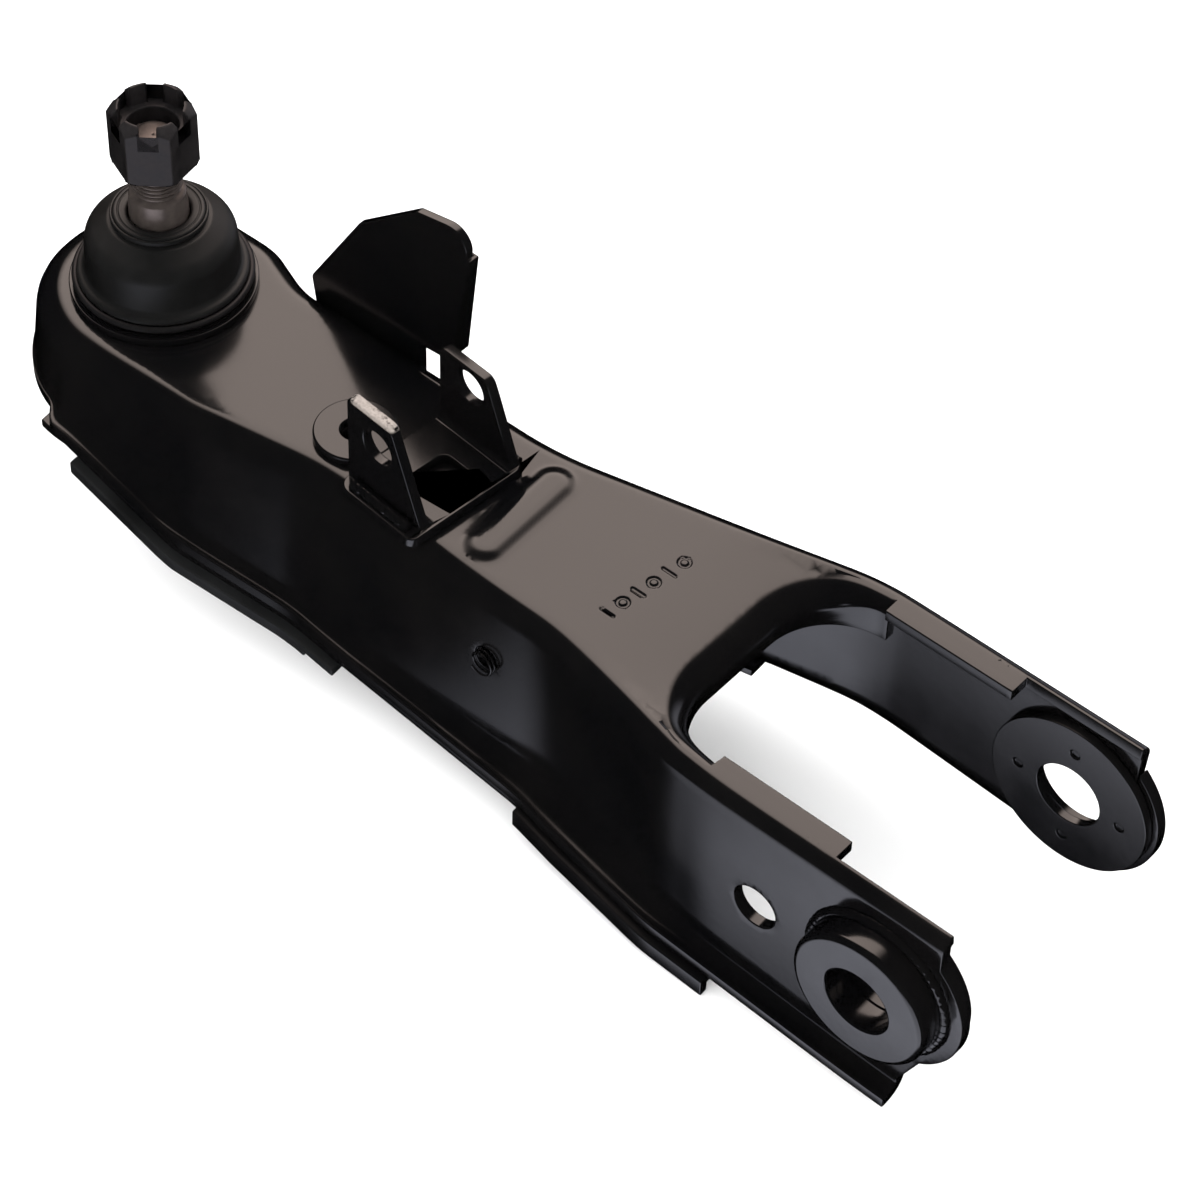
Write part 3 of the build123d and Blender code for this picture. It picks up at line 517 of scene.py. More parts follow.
FLARE_ROWS = 7
flange_stations = np.where(plan[:, 0] < FLANGE_END + 0.01)[0]
rows = []
for i in flange_stations:
    r = flare_r[i]
    flare = [station_point(i, reach[i] - r * math.sin(a), flange_z[i] + r - r * math.cos(a))
             for a in np.linspace(math.pi / 2 - lean[i], 0, FLARE_ROWS)]
    rows.append(flare + [station_point(i, reach[i] + flat[i] * share, flange_z[i]) for share in (0.5, 1.0)])
band(flange_stations, rows)
print("bands:", len(skin_faces), "quads")


# %% [markdown]
# Flat stretches with holes are triangulated between their outlines.  Extra points inside keep the
# triangles even, and a closer net goes where something is pressed into the sheet.

# %% Where a point lies
CHUNK = 2000                                 # points compared at a time, to spare memory


def inside(points, loop):
    """Which points lie inside a closed loop."""
    x, y = points[:, 0][:, None], points[:, 1][:, None]
    x1, y1 = loop[:, 0], loop[:, 1]
    x2, y2 = np.roll(x1, -1), np.roll(y1, -1)
    crosses = (y1 > y) != (y2 > y)
    rise = np.where(y2 == y1, 1.0, y2 - y1)
    return (crosses & (x < (x2 - x1) * (y - y1) / rise + x1)).sum(axis=1) % 2 == 1


def clear_of(points, others, gap):
    """Which points keep a gap from all the others."""
    keep = np.ones(len(points), bool)
    for start in range(0, len(points), CHUNK):
        part = points[start:start + CHUNK]
        away = ((part[:, None, :] - others[None, :, :]) ** 2).sum(axis=2).min(axis=1)
        keep[start:start + CHUNK] = away > gap * gap
    return keep


# %% Filling a region that has holes
ROW_GAP = 0.87                               # between rows of even triangles, as a share of a side


def net(low, high, spacing):
    """Staggered net of points over a rectangle."""
    rows = np.arange(low[1], high[1], spacing * ROW_GAP)
    across = np.arange(low[0], high[0], spacing)
    return np.array([(x + (k % 2) * spacing / 2, y) for k, y in enumerate(rows) for x in across])


def fill_region(outer, holes, spacing, fine=()):
    """Triangles inside outer and outside the holes; fine is a list of (low, high, spacing) nets."""
    loops = [outer] + list(holes)
    edge_points = np.concatenate(loops)
    points = np.empty((0, 2))
    for low, high, close in fine:
        points = np.concatenate((points, net(low, high, close)))
    points = points[clear_of(points, edge_points, 0.5)] if len(points) else points
    base = net(outer.min(axis=0), outer.max(axis=0), spacing)
    for low, high, close in fine:
        out = (base < np.array(low) - close).any(axis=1) | (base > np.array(high) + close).any(axis=1)
        base = base[out]
    base = base[clear_of(base, edge_points, spacing * 0.55)]
    points = np.concatenate((points, base))
    keep = inside(points, outer)
    for hole in holes:
        keep &= ~inside(points, hole)
    points = points[keep]
    edges = []
    start = 0
    for loop in loops:
        edges += [(start + k, start + (k + 1) % len(loop)) for k in range(len(loop))]
        start += len(loop)
    everything = [Vector(p) for p in np.concatenate((edge_points, points))]
    found, _, faces, _, _, _ = delaunay_2d_cdt(everything, edges, [], 0, 1e-7)
    found = np.array([tuple(v) for v in found])
    faces = [f for f in faces if len(f) == 3]
    middles = np.array([found[list(f)].mean(axis=0) for f in faces])
    keep = inside(middles, outer)
    for hole in holes:
        keep &= ~inside(middles, hole)
    return found, [f for f, k in zip(faces, keep) if k]


def circle(x, y, radius, count=64):
    """Closed loop of points on a circle."""
    turns = np.linspace(0, 2 * math.pi, count, endpoint=False)
    return np.stack((x + radius * np.cos(turns), y + radius * np.sin(turns)), axis=1)


# %% [markdown]
# The walls are filled in flattened form, with the distance along the outline as one coordinate
# and the height as the other, and then folded back round the arm.  Both ears, the pivot bore, the
# clip hole and the threaded hole's clearance are in this one region.

# %% Walls and ears
BORE_RADIUS = 11.0
FAR_HOLE = 14.0                              # clearance behind the far thrust pad
WEB_HOLE = (-44.0, -5.0, 7.5)                # x, z, radius
SIDE_HOLE = (-155.5, 7.0, 4.2)
HEEL = 0.58                                  # how far along +X the ear's round end leaves off
WALL_NET = 2.6
length = plan_s[-1]


def s_near(x):
    """Distance along the outline of a place on the straight near ear."""
    return EAR_END - x


fold_s = plan_s[fold_stations]
flange_s = plan_s[flange_stations]
upper = np.stack((fold_s, wall_top[fold_stations]), axis=1)
lower = np.stack((flange_s, wall_foot[flange_stations]), axis=1)
corner_angle = math.acos(FOLD_END / EAR_END)
heel_angle = -math.acos(HEEL)
turns = np.linspace(corner_angle, heel_angle, 34)
end_arc = np.stack((s_near(EAR_END * np.cos(turns)), EAR_END * np.sin(turns)), axis=1)
far_arc = np.stack((length - end_arc[::-1, 0], end_arc[::-1, 1]), axis=1)
outline = np.concatenate((upper, far_arc, lower[::-1], end_arc[::-1]))
side_station = np.argmin(np.where(near_side, abs(plan[:, 0] - SIDE_HOLE[0]), 1e9))
wall_holes = [
    circle(s_near(0), 0, BORE_RADIUS),
    circle(length - s_near(0), 0, FAR_HOLE),
    circle(s_near(WEB_HOLE[0]), WEB_HOLE[1], WEB_HOLE[2], 48),
    circle(plan_s[side_station], SIDE_HOLE[1], SIDE_HOLE[2], 40),
]
flat_points, flat_faces = fill_region(outline, wall_holes, WALL_NET)
s, z = flat_points[:, 0], flat_points[:, 1]
base_xy = np.stack([np.interp(s, plan_s, plan[:, k]) for k in (0, 1)], axis=1)
base_n = np.stack([np.interp(s, plan_s, plan_normal[:, k]) for k in (0, 1)], axis=1)
z_top, z_foot = np.interp(s, plan_s, wall_top), np.interp(s, plan_s, wall_foot)
n_top, n_foot = np.interp(s, plan_s, top_n), np.interp(s, plan_s, foot_n)
n = n_top + (n_foot - n_top) * (z_top - z) / (z_top - z_foot)
wall_points = np.concatenate((base_xy + base_n * n[:, None], z[:, None]), axis=1)
start = len(skin_points)
skin_points.extend(map(tuple, wall_points))
skin_faces += [tuple(start + k for k in f) for f in flat_faces]
print("walls:", len(flat_faces), "triangles")

# %% [markdown]
# The top is nearly flat.  An oval bead stiffens it in front of the shock absorber bracket, the
# sheet dips towards the rolled lip of the notch, and a row of plain punch marks stands where a
# maker would stamp a number.

# %% Where the notch's lip rolls over
LIP_FOOT = 18.5                              # lower edge of the notch lip
NOTCH_Y = 38.5
NOTCH_ROUND = 24.0
ROLL_TABS = 4.4                              # radius of the roll along the tabs
ROLL_ROOT = 8.0                              # and at the notch's bottom
LIP_START = -67.0
TAB_Y = 36.5
notch = rounded_path([
    (LIP_START, -NOTCH_Y, 0), (-NOTCH_ROOT, -NOTCH_Y, NOTCH_ROUND),
    (-NOTCH_ROOT, NOTCH_Y, NOTCH_ROUND), (LIP_START, NOTCH_Y, 0),
], 1.5)
notch_normal = outward(notch)
roll = ROLL_TABS + (ROLL_ROOT - ROLL_TABS) * smooth(-notch[:, 0], 70, 86)
ring = notch + notch_normal * roll[:, None]
print("notch lip's roll:", round(roll.min(), 1), "to", round(roll.max(), 1), "mm")

# %% Height of the top face
DIP_WIDTH = 26.0
DIP_DEPTH = 1.7
BEAD_MIDDLE = (-171.0, -6.0)
BEAD_TURN = math.radians(92.5)
BEAD_HALF = 16.0                             # half the length of its straight part
BEAD_HEIGHT = 1.6
BEAD_SLOPE = (2.0, 8.5)                      # from its middle line: end of the crown, foot of the slope
MARK_START = (-126.5, -18.0)
MARK_STEP = (0.8, 6.0)
MARK_COUNT = 6
MARK_DEPTH = 0.4
MARK_RING = 1.7
MARK_BAR = 2.3                               # half the length of a bar
MARK_STROKE = (0.25, 0.8)
dip_scale = smooth(-notch[:, 0], 74, 92)


def top_height(points):
    """Height of the top face over its flat, from the bead, the dip and the marks."""
    height = np.zeros(len(points))
    # oval bead
    rel = points - np.array(BEAD_MIDDLE)
    u = rel @ np.array((math.cos(BEAD_TURN), math.sin(BEAD_TURN)))
    v = rel @ np.array((-math.sin(BEAD_TURN), math.cos(BEAD_TURN)))
    away = np.hypot(np.maximum(abs(u) - BEAD_HALF, 0), v)
    height += BEAD_HEIGHT * (1 - smooth(away, *BEAD_SLOPE))
    # dip towards the notch
    for k in range(0, len(points), CHUNK):
        part = points[k:k + CHUNK]
        gaps = np.sqrt(((part[:, None, :] - ring[None, :, :]) ** 2).sum(axis=2))
        nearest = gaps.argmin(axis=1)
        gap = gaps[np.arange(len(part)), nearest]
        height[k:k + CHUNK] -= DIP_DEPTH * dip_scale[nearest] * np.clip(1 - gap / DIP_WIDTH, 0, 1) ** 2
    # punch marks, short bars and rings in turn
    for k in range(MARK_COUNT):
        rel = points - np.array((MARK_START[0] + MARK_STEP[0] * k, MARK_START[1] + MARK_STEP[1] * k))
        if k % 2:
            gap = abs(np.hypot(rel[:, 0], rel[:, 1]) - MARK_RING)
        else:
            gap = np.hypot(np.maximum(abs(rel[:, 0]) - MARK_BAR, 0), rel[:, 1])
        height -= MARK_DEPTH * (1 - smooth(gap, *MARK_STROKE))
    return height


# %% Top face
HOUSING_HOLE = 26.3
SMALL_HOLE = 4.0
WINDOW_HOLE = (-195.0, -10.0)                # in the window of the bracket's base
TOP_NET = 2.8
top_stations = np.where(plan[:, 0] < TAB_END + 0.01)[0]
top_ring = plan[top_stations] - plan_normal[top_stations] * inset[top_stations][:, None]
tab_x = np.linspace(LIP_START, TAB_END, int((TAB_END - LIP_START) / 2) + 1)
tab_near = np.stack((tab_x[::-1], np.full(len(tab_x), -TAB_Y)), axis=1)
tab_far = np.stack((tab_x, np.full(len(tab_x), TAB_Y)), axis=1)
outline = np.concatenate((top_ring, tab_far[::-1], ring[::-1], tab_near[::-1]))
top_holes = [
    circle(BALL[0], BALL[1], HOUSING_HOLE, 96),
    circle(*((washer_low + washer_high) / 2)[:2], SMALL_HOLE, 32),
    circle(*WINDOW_HOLE, SMALL_HOLE, 32),
]
flat_points, flat_faces = fill_region(outline, top_holes, TOP_NET, fine=[
    ((-134.0, -22.0), (-119.0, 16.0), 0.45),     # round the punch marks
    ((-183.0, -32.0), (-159.0, 21.0), 1.1),      # round the bead
])
height = top_height(flat_points)
height[~clear_of(flat_points, top_ring, 0.01)] = 0.0
top_points = np.concatenate((flat_points, (TOP + height)[:, None]), axis=1)
start = len(skin_points)
skin_points.extend(map(tuple, top_points))
skin_faces += [tuple(start + k for k in f) for f in flat_faces]
print("top:", len(flat_faces), "triangles")

# %% [markdown]
# The lip round the notch is rolled over and turned down, so the bushing's housing never meets a
# cut edge.  It is another band, swept along the notch.

# %% Notch lip
ROLL_ROWS = 9
ring_height = TOP + top_height(ring)
rows = []
for i, r in enumerate(roll):
    slope = 2 * DIP_DEPTH * dip_scale[i] / DIP_WIDTH
    row = []
    for a in np.linspace(0, math.pi / 2, ROLL_ROWS):
        x, y = notch[i] + notch_normal[i] * r * (1 - math.sin(a))
        fall = r * (1 - math.cos(a)) + slope * r * math.sin(a) * math.cos(a)
        row.append((x, y, ring_height[i] - fall))
    roll_foot = ring_height[i] - r
    for share in (0.34, 0.67, 1.0):
        row.append((notch[i][0], notch[i][1], roll_foot + (LIP_FOOT - roll_foot) * share))
    rows.append(row)
band(np.arange(len(notch)), rows, flip=True)
print("lip:", len(rows), "stations")

# %% [markdown]
# Now the skin becomes sheet metal: doubled corners are merged, Solidify adds the thickness on
# the inside, and a narrow Bevel breaks every cut edge the way tumbling and paint do.

# %% Thickness and edges
CUT_EDGE = 0.4
MERGE = 0.02                                 # points closer than this are one


def sheet_metal(piece, thickness, edge):
    """Thickness inwards and rounded cut edges, applied."""
    thick = piece.modifiers.new("thickness", "SOLIDIFY")
    thick.thickness = thickness * MM
    thick.offset = -1.0
    thick.use_rim = True
    soften(piece, edge)


def soften(piece, edge, angle=38.0):
    """Bevel on sharp edges and normals that favour the large faces."""
    bevel = piece.modifiers.new("edges", "BEVEL")
    bevel.width = edge * MM
    bevel.segments = 2
    bevel.limit_method = "ANGLE"
    bevel.angle_limit = math.radians(angle)
    bevel.use_clamp_overlap = False
    weighted = piece.modifiers.new("normals", "WEIGHTED_NORMAL")
    weighted.keep_sharp = False
    weighted.weight = 60


skin = mesh_from("upper_pressing_sheet", skin_points, skin_faces)
work = bmesh.new()
work.from_mesh(skin.data)
bmesh.ops.remove_doubles(work, verts=work.verts, dist=MERGE * MM)
bmesh.ops.recalc_face_normals(work, faces=work.faces)
if sum(face.normal.z * face.calc_area() for face in work.faces) < 0:
    bmesh.ops.reverse_faces(work, faces=work.faces)
print("skin:", len(work.faces), "faces,", sum(edge.is_boundary for edge in work.edges), "free edges")
work.to_mesh(skin.data)
work.free()
skin.data.polygons.foreach_set("use_smooth", [True] * len(skin.data.polygons))
sheet_metal(skin, SHEET, CUT_EDGE)
plain(skin, ENAMEL)
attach(skin, "arm")
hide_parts("upper_pressing")
print("upper pressing:", len(skin.data.polygons), "faces")

# %% [markdown]
# ## Pieces that keep their solid's shape
# Collars, pads, brackets and plates are right as they are, but a machined edge is never sharp.
# A copy of the solid's mesh is merged, its flat faces are joined again, and the edges are
# rounded.

# %% Rounded copies
COPY_ANGLE = 30.0                            # a solid's edge sharper than this is rounded
FLAT_ANGLE = 0.6                             # faces closer than this are one flat face


def rounded_copy(node, edge, material):
    """Copy of a CAD node with broken edges, standing in for it."""
    name = node + "_rounded"
    mesh = frame["nodes"][node].data.copy()
    work = bmesh.new()
    work.from_mesh(mesh)
    bmesh.ops.remove_doubles(work, verts=work.verts, dist=0.004 * MM)
    bmesh.ops.dissolve_limit(work, angle_limit=math.radians(FLAT_ANGLE), verts=work.verts, edges=work.edges)
    bmesh.ops.recalc_face_normals(work, faces=work.faces)
    work.to_mesh(mesh)
    work.free()
    mesh.polygons.foreach_set("use_smooth", [True] * len(mesh.polygons))
    mesh.name = name
    piece = new_object(name, mesh)
    soften(piece, edge, COPY_ANGLE)
    plain(piece, material)
    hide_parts(node)
    return piece


BODY_OF = {node: body for body, nodes in frame["record"]["behaviour"]["bodies"].items() for node in nodes}
for node, edge, material in (
    ("pivot_collar_near", 0.8, ENAMEL),
    ("pivot_pad_near", 0.4, ENAMEL), ("pivot_pad_far", 0.4, ENAMEL),
    ("shock_bracket", 0.5, CHIPPED_AND_HIGHLIGHTED), ("stop_bracket", 0.5, ENAMEL), ("bracket_washer", 0.7, ENAMEL),
    ("lower_pressing", 0.5, ENAMEL), ("reinforcement_plate", 0.6, DULL),
    ("castle_nut", 0.55, OXIDE), ("weld_nut", 0.6, ENAMEL), ("ball_housing", 0.4, ENAMEL),
):
    piece = rounded_copy(node, edge, material)
    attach(piece, BODY_OF[node])
    print("rounded", node, len(piece.data.polygons), "faces")

# %% [markdown]
# ## Turned and moulded pieces
# The boot, its top ring and the stud are round, so each is a profile spun about the ball stud's
# axis. The profile's corners carry their own radii, the way a mould or an insert tip leaves them.

# %% Spinning a profile
def spun(name, corners, step, segments, material):
    """Closed profile of (radius, height, corner radius) corners, spun about the stud's axis."""
    profile = rounded_path(corners, step)[:-1]
    turns = np.linspace(0, 2 * math.pi, segments, endpoint=False)
    points = [(BALL[0] + r * math.cos(a), BALL[1] + r * math.sin(a), z) for a in turns for r, z in profile]
    count = len(profile)
    faces = []
    for i in range(segments):
        following = (i + 1) % segments
        for j in range(count):
            k = (j + 1) % count
            faces.append((i * count + j, following * count + j, following * count + k, i * count + k))
    piece = mesh_from(name, points, faces)
    work = bmesh.new()
    work.from_mesh(piece.data)
    bmesh.ops.remove_doubles(work, verts=work.verts, dist=0.003 * MM)
    bmesh.ops.recalc_face_normals(work, faces=work.faces)
    work.to_mesh(piece.data)
    work.free()
    return plain(piece, material)


# %% Dust boot
FOOT = housing_high[2] + 0.1                 # the boot stands on the housing's flange
MOUTH = FOOT + 28.0
boot = spun("dust_boot_moulding", [
    (24.0, FOOT, 0), (26.9, FOOT, 0.6), (26.9, FOOT + 1.4, 0.4), (26.2, FOOT + 1.5, 0.1),
    (26.2, FOOT + 3.6, 0.1), (26.9, FOOT + 3.7, 0.4), (26.6, FOOT + 5.4, 1.0), (24.3, FOOT + 6.2, 1.4),
    (23.5, FOOT + 19.8, 7.5),
    (16.2, FOOT + 24.9, 1.2), (15.4, FOOT + 25.0, 0.2), (14.3, FOOT + 25.2, 0.3), (14.3, MOUTH, 0.7),
    (13.0, MOUTH, 0.25), (12.7, MOUTH - 0.5, 0.2), (12.2, MOUTH, 0.25), (9.8, MOUTH - 0.4, 0.9),
    (9.8, MOUTH - 4.4, 0.4), (12.0, MOUTH - 5.0, 0.6), (20.0, FOOT + 19.0, 5.0), (21.7, FOOT + 8.0, 2.0),
    (23.0, FOOT + 3.0, 0.8), (23.0, FOOT, 0.1), (24.0, FOOT, 0),
], 0.6, 96, RUBBER)
axis_x, axis_y = BALL * MM
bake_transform(boot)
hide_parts("dust_boot")
mouth_ring = spun("boot_top_ring_wire", [
    (14.35, FOOT + 26.6, 0), (14.35, FOOT + 25.7, 0.45), (15.2, FOOT + 25.7, 0.42),
    (15.2, FOOT + 27.5, 0.42), (14.35, FOOT + 27.5, 0.42), (14.35, FOOT + 26.6, 0),
], 0.12, 96, RUBBER)
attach(mouth_ring, "boot_mouth")
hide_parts("boot_top_ring")
print("boot:", len(boot.data.polygons), "faces")

# %% [markdown]
# ## Threads and weld beads
# Both repeat along a path, so Geometry Nodes makes them.  A thread is a diamond section swept
# along a helix over a plain core.  A weld bead is a round section swept along its seam: each
# ripple is one freeze of the pool, so the section swells and drops once per pitch, and a little
# seeded noise lets the bead wander as a hand or a robot does.

# %% Node groups
def node_group(name, inputs):
    """Geometry node group with a geometry socket in and out and named value inputs."""
    tree = bpy.data.node_groups.new(name, "GeometryNodeTree")
    tree.interface.new_socket(name="Geometry", in_out="INPUT", socket_type="NodeSocketGeometry")
    for label, kind in inputs:
        tree.interface.new_socket(name=label, in_out="INPUT", socket_type="NodeSocket" + kind)
    tree.interface.new_socket(name="Geometry", in_out="OUTPUT", socket_type="NodeSocketGeometry")
    return tree, add(tree, "NodeGroupInput").outputs, add(tree, "NodeGroupOutput")


def close_group(tree, geometry, given, out):
    """Ends a group: instances made real and the material set, since an export keeps neither apart."""
    real = add(tree, "GeometryNodeRealizeInstances", {"Geometry": geometry})
    done = add(tree, "GeometryNodeSetMaterial", {"Geometry": real.outputs[0], "Material": given["Finish"]})
    tree.links.new(done.outputs[0], out.inputs[0])
    print("node group:", tree.name, len(tree.nodes), "nodes")
    return tree


def grown(name, tree, values, points=(), edges=()):
    """Object that a node group has built, with the group's named inputs set, as a plain mesh."""
    mesh = bpy.data.meshes.new(name)
    mesh.from_pydata([tuple(np.asarray(p) * MM) for p in points], list(edges), [])
    piece = new_object(name, mesh)
    modifier = piece.modifiers.new(name, "NODES")
    modifier.node_group = tree
    for item in tree.interface.items_tree:
        if item.in_out == "INPUT" and item.name in values:
            modifier[item.identifier] = values[item.name]
    plain(piece, values["Finish"])
    print(name, len(piece.data.polygons), "faces")
    return piece


# %% [markdown]
# The thread's helix starts at the root and the section's radius is the thread's depth, so the
# crests reach the major radius.  The curve's normals are held upright, otherwise the diamond
# would roll over as the helix climbs.

# %% Thread
TURN_POINTS = 40                             # points in one turn of the helix


def thread_group():
    """A helix with a diamond section: major radius, pitch, length and depth as inputs."""
    tree, given, out = node_group("screw_thread", (
        ("Radius", "Float"), ("Pitch", "Float"), ("Length", "Float"), ("Depth", "Float"),
        ("Place", "Vector"), ("Turn", "Rotation"), ("Finish", "Material")))
    root = add(tree, MATH, {0: given["Radius"], 1: given["Depth"]}, operation="SUBTRACT").outputs[0]
    turns = add(tree, MATH, {0: given["Length"], 1: given["Pitch"]}, operation="DIVIDE").outputs[0]
    helix = add(tree, "GeometryNodeCurveSpiral", {
        "Resolution": TURN_POINTS, "Rotations": turns, "Start Radius": root, "End Radius": root,
        "Height": given["Length"]})
    upright = add(tree, "GeometryNodeSetCurveNormal", {"Curve": helix.outputs[0]}, mode="Z_UP")
    section = add(tree, "GeometryNodeCurvePrimitiveCircle", {"Resolution": 4, "Radius": given["Depth"]})
    sweep = add(tree, "GeometryNodeCurveToMesh", {
        "Curve": upright.outputs[0], "Profile Curve": section.outputs[0], "Fill Caps": True})
    placed = add(tree, "GeometryNodeTransform", {
        "Geometry": sweep.outputs[0], "Translation": given["Place"], "Rotation": given["Turn"]})
    return close_group(tree, placed.outputs[0], given, out)


THREAD = thread_group()

# %% [markdown]
# The bead's seam is cut into short even steps, because each ripple needs a few of them.  The
# noise moves the seam sideways by the wander, and also swells the section a little.  Within one
# pitch the section shrinks slowly at first and then faster, which is what the power does.

# %% Weld bead
BEAD_STEP = 0.35
BEAD_SIDES = 12
WANDER_SCALE = 240.0                         # one wobble in about 4 mm
WANDER_DETAIL = 2.0
RIPPLE_CURVE = 1.6
LUMP = 0.25                                  # share of the radius that the noise swings


def bead_group():
    """A rippled weld bead along a seam given as mesh edges."""
    tree, given, out = node_group("weld_bead", (
        ("Radius", "Float"), ("Pitch", "Float"), ("Ripple", "Float"), ("Wander", "Float"), ("Seed", "Float"),
        ("Finish", "Material")))
    seam = add(tree, "GeometryNodeMeshToCurve", {"Mesh": given["Geometry"]})
    even = add(tree, "GeometryNodeResampleCurve", {"Curve": seam.outputs[0], "Length": BEAD_STEP * MM}, mode="LENGTH")
    position = add(tree, "GeometryNodeInputPosition").outputs[0]
    blur = add(tree, "ShaderNodeTexNoise", {
        "Vector": position, "W": given["Seed"], "Scale": WANDER_SCALE, "Detail": WANDER_DETAIL,
    }, noise_dimensions="4D")
    centred = add(tree, VECTOR_MATH, {0: blur.outputs["Color"], 1: (0.5, 0.5, 0.5)}, operation="SUBTRACT")
    shift = add(tree, VECTOR_MATH, {0: centred.outputs[0], "Scale": given["Wander"]}, operation="SCALE")
    moved = add(tree, "GeometryNodeSetPosition", {"Geometry": even.outputs[0], "Offset": shift.outputs[0]})
    distance = add(tree, "GeometryNodeSplineParameter").outputs["Length"]
    pitches = add(tree, MATH, {0: distance, 1: given["Pitch"]}, operation="DIVIDE").outputs[0]
    phase = add(tree, MATH, {0: pitches}, operation="FRACT").outputs[0]
    bent = add(tree, MATH, {0: phase, 1: RIPPLE_CURVE}, operation="POWER").outputs[0]
    drop = add(tree, MATH, {0: bent, 1: given["Ripple"]}, operation="MULTIPLY").outputs[0]
    lump = add(tree, MATH, {0: blur.outputs["Fac"], 1: LUMP}, operation="MULTIPLY").outputs[0]
    level = add(tree, MATH, {0: lump, 1: 1.0 - LUMP / 2}, operation="ADD").outputs[0]
    share = add(tree, MATH, {0: level, 1: drop}, operation="SUBTRACT").outputs[0]
    size = add(tree, MATH, {0: share, 1: given["Radius"]}, operation="MULTIPLY").outputs[0]
    section = add(tree, "GeometryNodeCurvePrimitiveCircle", {"Resolution": BEAD_SIDES, "Radius": 1.0})
    sweep = add(tree, "GeometryNodeCurveToMesh", {
        "Curve": moved.outputs[0], "Profile Curve": section.outputs[0], "Scale": size, "Fill Caps": True})
    return close_group(tree, sweep.outputs[0], given, out)


BEAD = bead_group()

# %% [markdown]
# The stud's ball, neck, taper and threaded core are turned in one profile, and the thread is grown
# over the core.  The hole for the cotter pin is drilled through the core with a Boolean, because a
# round hole across a round bar has an edge that no profile can give.

# %% Drilling a hole
DRILL_SIDES = 32
DRILL_LENGTH = 60.0


def drilled(piece, place, axis, radius):
    """Round hole through a piece, applied."""
    tool_mesh = bpy.data.meshes.new("drill")
    work = bmesh.new()
    bmesh.ops.create_cone(work, cap_ends=True, segments=DRILL_SIDES, radius1=radius * MM, radius2=radius * MM,
                          depth=DRILL_LENGTH * MM)
    work.to_mesh(tool_mesh)
    work.free()
    tool = new_object("drill", tool_mesh)
    tool.location = Vector(place) * MM
    tool.rotation_euler = Vector(axis).to_track_quat("Z", "Y").to_euler()
    cut = piece.modifiers.new("hole", "BOOLEAN")
    cut.object = tool
    cut.operation = "DIFFERENCE"
    cut.solver = "EXACT"
    bpy.context.view_layer.update()
    plain(piece)
    bpy.data.objects.remove(tool)
    print(piece.name, "drilled,", len(piece.data.polygons), "faces")


# %% Ball stud
THREAD_RADIUS = 8.0
THREAD_DEPTH = 0.8
THREAD_PITCH = 1.5
CORE = THREAD_RADIUS - THREAD_DEPTH - 0.1
THREAD_START = TOP + 40.2
BALL_RADIUS = 15.0
NECK = 8.5
AXIS_R = 0.01                                # profiles stop this far from the axis
COTTER_RADIUS = 2.0
stud_top = node_box("ball_stud")[1][2] - 1.5
ball_z = housing_low[2] + 26.0
ball_arc = [(BALL_RADIUS * math.cos(a), ball_z + BALL_RADIUS * math.sin(a), 0.4) for a in np.linspace(-1.5, 0.95, 22)]
stud = spun("ball_stud_turned", [(AXIS_R, ball_z - BALL_RADIUS, 0)] + ball_arc + [
    (NECK, ball_z + 13.0, 1.0), (NECK, TOP + 6.0, 1.2), (10.2, TOP + 15.0, 0.6), (8.85, TOP + 38.1, 0.5),
    (THREAD_RADIUS, TOP + 38.7, 0.3), (CORE, TOP + 39.2, 0.4), (CORE, stud_top - 1.0, 0.4),
    (CORE - 1.2, stud_top, 0.2), (AXIS_R, stud_top, 0), (AXIS_R, ball_z - BALL_RADIUS, 0),
], 0.8, 64, STUD_STEEL)
thread = grown("ball_stud_thread", THREAD, {
    "Radius": THREAD_RADIUS * MM, "Pitch": THREAD_PITCH * MM, "Length": (stud_top - 1.5 - THREAD_START) * MM,
    "Depth": THREAD_DEPTH * MM, "Place": (axis_x, axis_y, THREAD_START * MM), "Turn": (0.0, 0.0, 0.0),
    "Finish": STUD_STEEL})
cotter_z = TOP + 46.8
drilled(stud, (BALL[0], BALL[1], cotter_z), (0, 1, 0), COTTER_RADIUS)
for piece in (stud, thread):
    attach(piece, "stud")
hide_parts("ball_stud")

# %% [markdown]
# The hole in the near wall is tapped, and its nut sits flush behind the wall.  The same thread
# group serves, with the helix turned to run along the arm's width and a little larger than the
# hole, so that its crests stand out of the wall of the bore.

# %% Thread in the side hole
SIDE_THREAD_LENGTH = 12.6
SIDE_THREAD_Y = -28.2                        # its inner end; it runs from there towards the outside
side_thread = grown("side_hole_thread", THREAD, {
    "Radius": (SIDE_HOLE[2] + 0.15) * MM, "Pitch": THREAD_PITCH * MM, "Length": SIDE_THREAD_LENGTH * MM,
    "Depth": 0.45 * MM, "Place": (SIDE_HOLE[0] * MM, SIDE_THREAD_Y * MM, SIDE_HOLE[1] * MM),
    "Turn": (math.pi / 2, 0.0, 0.0), "Finish": ENAMEL})
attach(side_thread, "arm")

# %% [markdown]
# Each weld follows its solid: round the collar, along both ears of the bracket, and along the
# foot of the stop bracket.  A seam is only a row of points joined by edges, and the node group
# does the rest.  The enamel covers the welds too, so they carry the same finish.

# %% Weld beads
WANDER = 0.8


